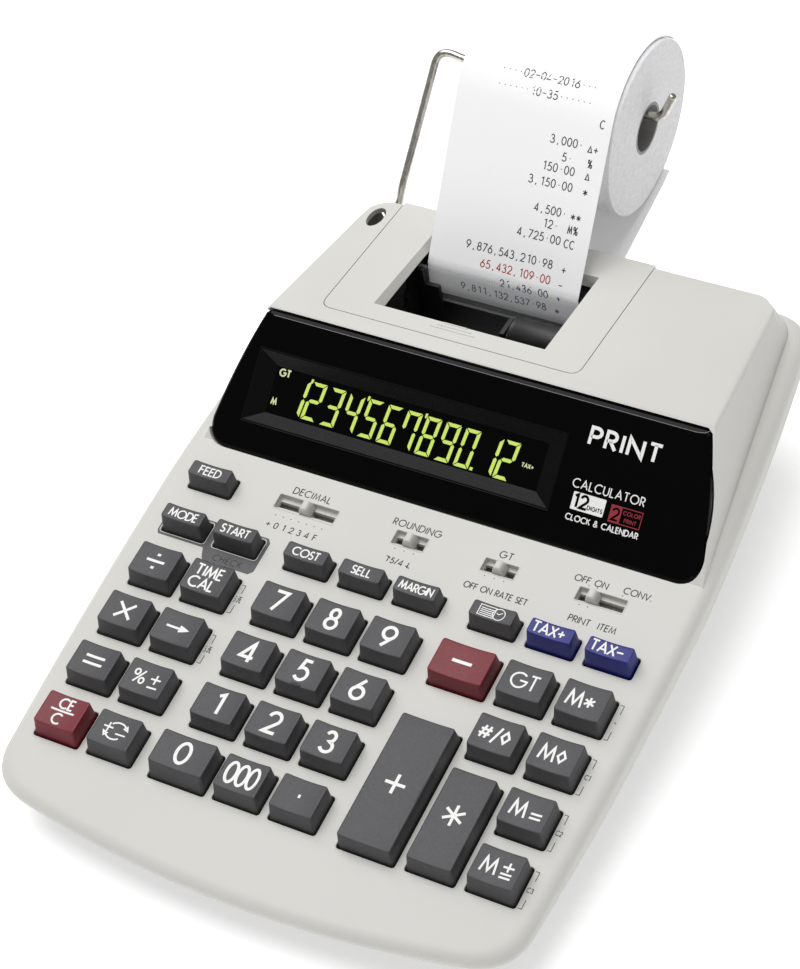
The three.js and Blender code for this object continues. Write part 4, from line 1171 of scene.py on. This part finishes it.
def bracket(x, low, high, mark="", size=1.6):
    for end, direction in ((low, 1), (high, -1)):
        brackets.extend([[(x - 1.3, end), (x, end), (x, end + direction * 3.2)]])
    if mark:
        brackets.extend(centred(mark, x - 0.2, (low + high) / 2, size, 0.25, 0.8))


memory_x = FUNCTION_X + PITCH + 10.6
for name, mark in (("key_memory_total", "~"), ("key_memory_subtotal", "C1"), ("key_memory_minus", "C2"),
                   ("key_memory_plus", "C3")):
    u = KEYS[name][2]
    bracket(memory_x, u - 6.5, u + 6.5, mark)
for name in ("key_time_calendar", "key_arrow"):
    u = KEYS[name][2]
    bracket(LEFT_X + 10.7, u - 5.6, u + 5.6)
    for dx in (-0.9, 0.9):
        brackets.extend(centred("C/T" if dx < 0 else "24H", LEFT_X + 10.3 + dx, u, 1.2, 0.24, 0.8, 90))
ink("deck_brackets", brackets, 0.22, on(DECK), DARK_INK, "case", "case_dark", 3.0)

# Grey printed patch round the MODE and START keys.
mode_x, start_x = KEYS["key_mode"][1], KEYS["key_start"][1]
patch_raw = [(mode_x - 9.6, SMALL_ROW - 4.0), (mode_x - 8.8, SMALL_ROW - 5.4), (start_x - 11.2,
                                                                                SMALL_ROW - 5.4),
             (start_x - 9.6, SMALL_ROW - 9.3), (start_x - 8.6, SMALL_ROW - 9.9), (start_x + 8.8,
                                                                                  SMALL_ROW - 9.9),
             (start_x + 10.3, SMALL_ROW - 8.4), (start_x + 10.3, SMALL_ROW + 3.6), (start_x + 9.0,
                                                                                    SMALL_ROW + 5.2),
             (mode_x - 8.6, SMALL_ROW + 5.2), (mode_x - 9.6, SMALL_ROW + 4.2)]
patch = prism("mode_patch", patch_raw, -0.1, 0.12, PATCH_GREY)
combine(patch, joined(*[prism(f"patch_{name}", key_hole(name, 0.62), -3, 3, CASE)
                        for name in ("key_mode", "key_start")]), "DIFFERENCE")
patch.data.transform(DECK)
finish_piece(patch, "case", "case_dark", 30.0)
ink("patch_check", centred("CHECK", start_x - 0.3, SMALL_ROW - 7.7, 2.3, 0.34), 0.28, on(DECK, 0.12),
    DARK_INK,
    "case", "case_dark")

# ---------------------------------------------------------------- printer cover
cover = prism("cover_plate", cover_outline(0.0, ROOF_LENGTH + 1.2), -2.8, 0.0, CASE)
bay = loft("bay", [at([(-46.5, 14.5), (14.6, 14.5), (14.6, 53.6), (-46.5, 53.6)], -4),
                   at([(-49.8, 13.4), (15.6, 13.4), (16.0, 53.9), (-48.8, 53.9)], 0.01),
                   at([(-49.8, 13.4), (15.6, 13.4), (16.0, 53.9), (-48.8, 53.9)], 3)], CASE)
combine(cover, bay, "DIFFERENCE")
cover_parts = [cover]
for i in range(3):
    half = 8.4 - 2.0 * i
    cover_parts.append(tube(f"cover_ridge_{i}", [(-17.8 - half, 3.2 + 1.45 * i + 7.0, 0.0),
                                                 (-17.8 + half, 3.2 + 1.45 * i + 7.0, 0.0)], 0.32, CASE,
                            None, 8))
cover = joined(*cover_parts)
cover.data.transform(ROOF)
finish_piece(cover, "printer_cover_body", "case_light", 30.0, ("printer_cover",)).name = "cover_plate"

# ---------------------------------------------------------------- lower case and feet
TO_MACHINE = DESK.inverted() @ DECK


def lean_ring(inset, rear_inset, pinch, n):
    return [tuple(TO_MACHINE @ Vector((x, y, front_rise(y, n))))
            for x, y in case_outline(inset, rear_inset, pinch)]


def floor_ring(inset, z):
    return [(x, y * math.cos(TILT), z) for x, y in case_outline(17 + inset, 20 + inset, 10)]


tray_rings = [floor_ring(1.6, 3.0), floor_ring(0.4, 3.3), floor_ring(0.0, 4.6)]
tray_rings += [lean_ring(5.4, 2.0, 8, -STRIP_DROP - 1.5), lean_ring(3.6, 1.0, 8, -STRIP_DROP),
               lean_ring(0.3, 0.6, 8, -RIM_DROP - 0.3)]
tray = loft("base_tray", tray_rings, CASE_DARK)
inner_rings = [floor_ring(WALL, 5.5), lean_ring(3.6 + WALL, 1 + WALL, 8, -STRIP_DROP),
               lean_ring(0.3 + WALL, 0.6 + WALL, 8, -RIM_DROP + 4)]
combine(tray, loft("tray_hollow", inner_rings, CASE_DARK), "DIFFERENCE")
combine(tray, tube("jack_cut", [(60, 150, 24), (60, 200, 24)], 5.3, CASE, None, 32), "DIFFERENCE")
tray.data.transform(DESK)
finish_piece(tray, "case", "case_dark", 30.0, ("bottom_case",))
for end, y in (("front", -48), ("rear", 138)):
    for side, x in (("left", -66), ("right", 66)):
        profile = [(6.5, 2.7), (6.5, 0.5), (6.1, 0.12), (5.6, 0.0), (3.4, 0.0), (3.0, 0.25), (0.8, 0.25)]
        rings = [[(x + r * math.cos(2 * math.pi * k / 40), y + r * math.sin(2 * math.pi * k / 40), z)
                  for k in range(40)] for r, z in profile]
        finish_piece(loft(f"foot_pad_{end}_{side}", rings, RUBBER, DESK), "case", "rubber", 40.0,
                     (f"foot_{end}_{side}",))
jack_profile = [(-6, 3.2), (-6, 5.0), (5.2, 5.0), (6, 4.6), (6, 3.6), (5.4, 3.2)]
rings = [[(60 + r * math.cos(2 * math.pi * k / 40), 166 + y, 24 + r * math.sin(2 * math.pi * k / 40))
          for k in range(40)] for y, r in jack_profile]
finish_piece(loft("adapter_socket_ring", rings, BLACK, DESK, closed=True), "case", "black_plastic", 40.0,
             ("power_jack",))

# ---------------------------------------------------------------- printer mechanism
finish_piece(lathe_x("platen_drum", [(-49, 0.4), (-49, 6.4), (-48.4, 7.0), (16.4, 7.0), (17, 6.4), (17, 0.4)],
                     RUBBER, DESK, 0, 166, 58), "platen_roller_body", "rubber", 40.0, ("platen_roller",))
ink_profile = [(-8, 0.4), (-8, 4.6), (-7.2, 5.9), (-5.6, 5.9), (-5.2, 6.2), (11.2, 6.2), (11.6, 5.6), (13.6,
                                                                                                       5.6),
               (14.0, 6.2), (15.4, 6.2), (16, 5.6), (16, 0.4)]
finish_piece(lathe_x("ink_drum", ink_profile, BLACK, DESK, 0, 146, 57.5), "ink_roller_body", "rubber", 40.0,
             ("ink_roller",))
for node, material in (("printer_frame", BLACK), ("circuit_board", BOARD), ("display_module", BLACK)):
    body = frame["nodes"][node] if isinstance(frame["nodes"], dict) else bpy.data.objects[node]
    body = bpy.data.objects[body] if isinstance(body, str) else body
    for mat_slot in body.material_slots:
        mat_slot.material = material

# Clear tear bar with a row of fine teeth.
BAR_LEFT, BAR_RIGHT, BAR_Y, BAR_LOW, BAR_HIGH = -49.4, 16.6, 157.1, 53.0, 67.4
teeth = 66
profile = [(BAR_LEFT, BAR_LOW), (BAR_RIGHT, BAR_LOW), (BAR_RIGHT, BAR_HIGH - 0.9)]
for i in range(teeth, 0, -1):
    x = BAR_LEFT + (BAR_RIGHT - BAR_LEFT) * i / teeth
    profile += [(x - 0.5, BAR_HIGH), (x - 1.0, BAR_HIGH - 0.9)]
profile.append((BAR_LEFT, BAR_HIGH - 0.9))
clean = [profile[0]]
for point in profile[1:]:
    if math.dist(point, clean[-1]) > 1e-4:
        clean.append(point)
bar_front = [(x, BAR_Y - 0.6, z) for x, z in clean]
bar_back = [(x, BAR_Y + 0.6, z) for x, z in clean]
finish_piece(loft("tear_blade", [bar_back, bar_front], CLEAR, DESK), "case", "clear_plastic", 20.0,
             ("tear_bar",))

# ---------------------------------------------------------------- paper
PAPER_LEFT, PAPER_RIGHT = -46.9, 11.5
ROLL_Y, ROLL_Z, ROLL_R, ROLL_CORE, ROLL_WIDTH = 220.6, 96.8, 31.5, 8.4, 58.4
ROLL_SLOPE = math.radians(3.6)
ROLL_X = (PAPER_LEFT + PAPER_RIGHT) / 2
TEAR_POINT, SLOT_POINT = (159.3, 67.2), (187.0, 55.0)
PLATEN_Y, PLATEN_Z, PLATEN_R = 166.0, 58.0, 7.0


def arc_points(cy, cz, radius, start, end, steps):
    return [(cy + radius * math.cos(start + (end - start) * i / steps),
             cz + radius * math.sin(start + (end - start) * i / steps)) for i in range(steps + 1)]


def line_points(a, b, steps):
    return [(a[0] + (b[0] - a[0]) * i / steps, a[1] + (b[1] - a[1]) * i / steps) for i in range(1, steps)]


def strip_path(centre_z):
    radius = ROLL_R + 0.8

    def tangent(point, sign):
        reach = math.hypot(ROLL_Y - point[0], centre_z - point[1])
        lean = math.atan2(centre_z - point[1], ROLL_Y - point[0]) + sign * math.asin(radius / reach)
        return lean + sign * math.pi / 2

    around = arc_points(PLATEN_Y, PLATEN_Z, PLATEN_R + 0.6, 1.5 * math.pi, math.pi, 10)
    under_end = tangent(SLOT_POINT, -1)
    over_start = tangent(TEAR_POINT, 1)
    under = arc_points(ROLL_Y, centre_z, radius, math.radians(-66), under_end, 4)
    over = arc_points(ROLL_Y, centre_z, radius, over_start, math.radians(38), 40)
    path = under + line_points(under[-1], SLOT_POINT, 8) + [SLOT_POINT] + line_points(SLOT_POINT, around[0],
                                                                                      6)
    path += around + line_points(around[-1], TEAR_POINT, 6)
    tear_index = len(path)
    path += [TEAR_POINT] + line_points(TEAR_POINT, over[0], 24) + over
    return path, tear_index


drop = ROLL_WIDTH / 2 * math.sin(ROLL_SLOPE)
left_path, TEAR_INDEX = strip_path(ROLL_Z + drop)
right_path, _ = strip_path(ROLL_Z - drop)


def outward(path, i):
    before, after = path[max(i - 1, 0)], path[min(i + 1, len(path) - 1)]
    direction = Vector((after[0] - before[0], after[1] - before[1])).normalized()
    return Vector((-direction.y, direction.x))


PAPER_HALF = 0.15
ACROSS = 10
vertices, faces = [], []
for i in range(len(left_path)):
    for layer in (PAPER_HALF, -PAPER_HALF):
        for k in range(ACROSS + 1):
            share = k / ACROSS
            y = left_path[i][0] + (right_path[i][0] - left_path[i][0]) * share
            z = left_path[i][1] + (right_path[i][1] - left_path[i][1]) * share
            out = outward(left_path, i) * layer
            vertices.append((PAPER_LEFT + (PAPER_RIGHT - PAPER_LEFT) * share, y + out.x, z + out.y))
row_size = 2 * (ACROSS + 1)
for i in range(len(left_path) - 1):
    a, b = i * row_size, (i + 1) * row_size
    for k in range(ACROSS):
        faces.append((a + k, a + k + 1, b + k + 1, b + k))
        low_a, low_b = a + ACROSS + 1, b + ACROSS + 1
        faces.append((low_a + k + 1, low_a + k, low_b + k, low_b + k + 1))
    for k in (0, ACROSS):
        faces.append((a + k, b + k, b + ACROSS + 1 + k, a + ACROSS + 1 + k))
for end in (0, len(left_path) - 1):
    a = end * row_size
    for k in range(ACROSS):
        faces.append((a + k, a + ACROSS + 1 + k, a + ACROSS + 2 + k, a + k + 1))
strip = build("paper_tape", vertices, faces, PAPER, DESK)
finish_piece(strip, "case", "paper", 40.0, ("paper_strip",))


def lengths(path):
    total = [0.0]
    for a, b in zip(path, path[1:]):
        total.append(total[-1] + math.dist(a, b))
    return [value - total[TEAR_INDEX] for value in total]


LEFT_LENGTHS, RIGHT_LENGTHS = lengths(left_path), lengths(right_path)


def along(path, distances, s):
    for i in range(1, len(path)):
        if distances[i] >= s or i == len(path) - 1:
            share = (s - distances[i - 1]) / (distances[i] - distances[i - 1])
            point = (path[i - 1][0] + (path[i][0] - path[i - 1][0]) * share,
                     path[i - 1][1] + (path[i][1] - path[i - 1][1]) * share)
            d = Vector((path[i][0] - path[i - 1][0], path[i][1] - path[i - 1][1])).normalized()
            return point, Vector((-d.y, d.x))
    return path[-1], Vector((0, 1))


def on_tape(x, s, lift):
    share = (x - PAPER_LEFT) / (PAPER_RIGHT - PAPER_LEFT)
    (ly, lz), out = along(left_path, LEFT_LENGTHS, s)
    (ry, rz), _ = along(right_path, RIGHT_LENGTHS, s)
    out = out * (PAPER_HALF + lift)
    return DESK @ Vector((x, ly + (ry - ly) * share + out.x, lz + (rz - lz) * share + out.y))


TAPE_PITCH, TAPE_HEIGHT = 2.1, 2.75


def tape_line(text, right, s):
    """Fixed-pitch print that ends at x = right, with its middle at s above the tear bar."""
    strokes = []
    pen = right
    for character in reversed(text):
        pitch = TAPE_PITCH
        if character == "o":
            strokes.append([(pen - 1.2, s), (pen - 0.85, s)])
        elif character == ".":
            strokes.append([(pen - 1.2, s - 0.1), (pen - 0.85, s - 0.1)])
        elif character != " ":
            width, _ = GLYPHS[character]
            squeeze = 1.45 / (max(width, 0.5) * TAPE_HEIGHT)
            glyph, _ = text_strokes(character, TAPE_HEIGHT, 0, min(1.0, squeeze))
            offset = 0.5 if width < 0.3 else 0.0
            strokes += moved(glyph, pen - pitch + 0.3 + offset, s - TAPE_HEIGHT / 2)
        pen -= pitch
    return strokes


def tape_print(name, lines, material):
    strokes = []
    for text, right, s in lines:
        strokes += tape_line(text, right, s)
    ink(name, strokes, 0.36, on_tape, material, "case", "paper", 1.4, 0.035)


tape_print("tape_print_black", [
    ("oooo02-04-2016ooo", 3.0, 71.7), ("oooooo10-35oooooo", 2.8, 66.2), ("C", 9.0, 60.1),
    ("3,000.", 2.8, 51.9), ("^+", 8.5, 51.2), ("5.", -0.2, 46.6), ("%", 7.3, 46.2), ("150.00", 1.5, 42.4),
    ("^", 7.3, 41.9), ("3,150.00", 1.8, 37.0), ("*", 7.6, 36.4), ("4,500.", 1.6, 27.9), ("**", 7.0, 27.4),
    ("12.", -0.6, 23.2), ("M%", 6.8, 22.9), ("4,725.00", 1.2, 18.4), ("CC", 6.4, 18.0),
    ("9,876,543,210.98", 0.0, 9.8), ("+", 5.3, 9.0)], PRINT_INK)
tape_print("tape_print_red", [("65,432,109.00", 0.2, 4.4), ("-", 5.1, 3.6)], PRINT_RED)
tape_print("tape_print_blue", [("21,436.00", 0.2, -0.9), ("+", 5.0, -1.3), ("9,811,132,537.98", -0.8, -6.4),
                               ("*", 4.2, -7.0)], PRINT_BLUE)

# The roll: wound sides with fine steps, and a card core.
ROLL_FRAME = DESK @ Matrix.Translation((ROLL_X, ROLL_Y, ROLL_Z)) @ Matrix.Rotation(ROLL_SLOPE, 4, "Y")
half = ROLL_WIDTH / 2
side_profile = []
rings_count = 24
for i in range(rings_count + 1):
    r = ROLL_CORE + 1.1 + (ROLL_R - ROLL_CORE - 1.3) * i / rings_count
    wobble = 0.07 * math.sin(i * 2.4) + 0.05 * math.sin(i * 5.1 + 1)
    side_profile.append((half - 0.14 + wobble, r))
profile = [(-x, r) for x, r in side_profile] + [(-half + 0.3, ROLL_R), (half - 0.3, ROLL_R)]
profile += list(reversed(side_profile))
finish_piece(lathe_x("roll_winding", profile, PAPER_EDGE, ROLL_FRAME, steps=128), "paper_roll_body", "paper",
             40.0, ("paper_roll",))
core = [(-half + 0.1, ROLL_CORE), (-half + 0.1, ROLL_CORE + 1.15), (half - 0.1, ROLL_CORE + 1.15),
        (half - 0.1, ROLL_CORE)]
finish_piece(lathe_x("roll_core_tube", core, CORE, ROLL_FRAME, steps=64), "paper_roll_body", "paper", 40.0)

# ---------------------------------------------------------------- wire holder
WIRE_R, WIRE_LIFT = 1.5, 6.2
HOOK_X, HOOK_TOP = PAPER_RIGHT + 5.5, 112.4
BEND_X = -69.0


def wire_z(x):
    return ROLL_Z + WIRE_LIFT - (x - ROLL_X) * math.tan(ROLL_SLOPE)


wire_corners = [Vector(p) for p in (
    (HOLDER_X, 172, SOCKET_Z), (HOLDER_X, 188.5, SOCKET_Z), (HOLDER_X + 0.6, 191.5, 66.6),
    (BEND_X, ROLL_Y, wire_z(BEND_X) + 3.4), (-49.5, ROLL_Y, wire_z(-49.5) + 0.3),
    (HOOK_X, ROLL_Y, wire_z(HOOK_X)), (HOOK_X + 5.4, ROLL_Y, HOOK_TOP))]
wire_bends = [0, 3.5, 3, 6, 2, 4, 0]


def wire_path():
    path = [wire_corners[0]]
    for i in range(1, len(wire_corners) - 1):
        corner = wire_corners[i]
        start = corner + (wire_corners[i - 1] - corner).normalized() * wire_bends[i]
        end = corner + (wire_corners[i + 1] - corner).normalized() * wire_bends[i]
        for k in range(1, 7):
            path.append(path[-1].lerp(start, k / 6) if k == 6 else path[-1].lerp(start, 0.35))
        for k in range(1, 11):
            s = k / 10
            path.append(start * (1 - s) ** 2 + corner * 2 * s * (1 - s) + end * s * s)
    last = wire_corners[-1]
    tip = (last - path[-1]).normalized()
    path += [last - tip * 1.2, last - tip * 0.5, last - tip * 0.15, last]
    return path


points = wire_path()
radii = [WIRE_R] * (len(points) - 3) + [WIRE_R * 0.92, WIRE_R * 0.7, WIRE_R * 0.35]
finish_piece(tube("holder_wire", points, radii, CHROME, DESK, 20), "case", "wire", 60.0, ("paper_holder",))

# ---------------------------------------------------------------- floor, light and camera
floor_material, floor_tree, floor_shader, floor_coordinates = new_material("studio_floor")
floor_noise = noise_node(floor_tree, floor_coordinates, 3.0)
floor_tone = ramp_node(floor_tree, floor_noise.outputs["Fac"], (0.955, 0.955, 0.955, 1), (0.975, 0.975,
                                                                                          0.975, 1))
floor_tree.links.new(floor_tone.outputs["Color"], floor_shader.inputs["Base Color"])
floor_tree.links.new(floor_tone.outputs["Color"], floor_shader.inputs["Emission Color"])
floor_shader.inputs["Emission Strength"].default_value = 0.5
floor_shader.inputs["Roughness"].default_value = 0.9
floor_shader.inputs["Specular IOR Level"].default_value = 0.1
floor_mesh = bpy.data.meshes.new("studio_floor")
floor_mesh.from_pydata([(-30, -30, 0), (30, -30, 0), (30, 30, 0), (-30, 30, 0)], [], [(0, 1, 2, 3)])
floor = link("studio_floor", floor_mesh, floor_material)

world = bpy.data.worlds.new("studio")
bpy.context.scene.world = world
world.use_nodes = True
background = world.node_tree.nodes["Background"]
background.inputs["Color"].default_value = (1.0, 1.0, 1.0, 1.0)
background.inputs["Strength"].default_value = 0.3


def soft_light(name, location, target, size, power, size_y=None):
    data = bpy.data.lights.new(name, "AREA")
    data.shape = "RECTANGLE"
    data.size = size
    data.size_y = size_y or size
    data.energy = power
    lamp = bpy.data.objects.new(name, data)
    bpy.context.scene.collection.objects.link(lamp)
    lamp.location = location
    lamp.rotation_euler = (Vector(target) - Vector(location)).to_track_quat("-Z", "Y").to_euler()


soft_light("overhead_light", (-0.35, 0.1, 2.0), (0, 0, 0.05), 1.7, 33.0)
soft_light("key_light", (-1.3, 0.7, 1.5), (0, 0, 0.05), 0.8, 4.5)

camera_data = bpy.data.cameras.new("camera")
camera_data.lens = 105.12
camera_data.sensor_width = 36.0
camera_data.shift_x = -0.00577
camera_data.shift_y = -0.0022
camera_data.clip_start = 0.02
camera = bpy.data.objects.new("camera", camera_data)
bpy.context.scene.collection.objects.link(camera)
camera.location = DESK @ Vector((373.53, -456.12, 721.0))
camera.rotation_euler = tuple(math.radians(a) for a in (43.91873, 7.54131, 28.2814))
bpy.context.scene.camera = camera
bpy.context.scene.view_settings.view_transform = "Standard"
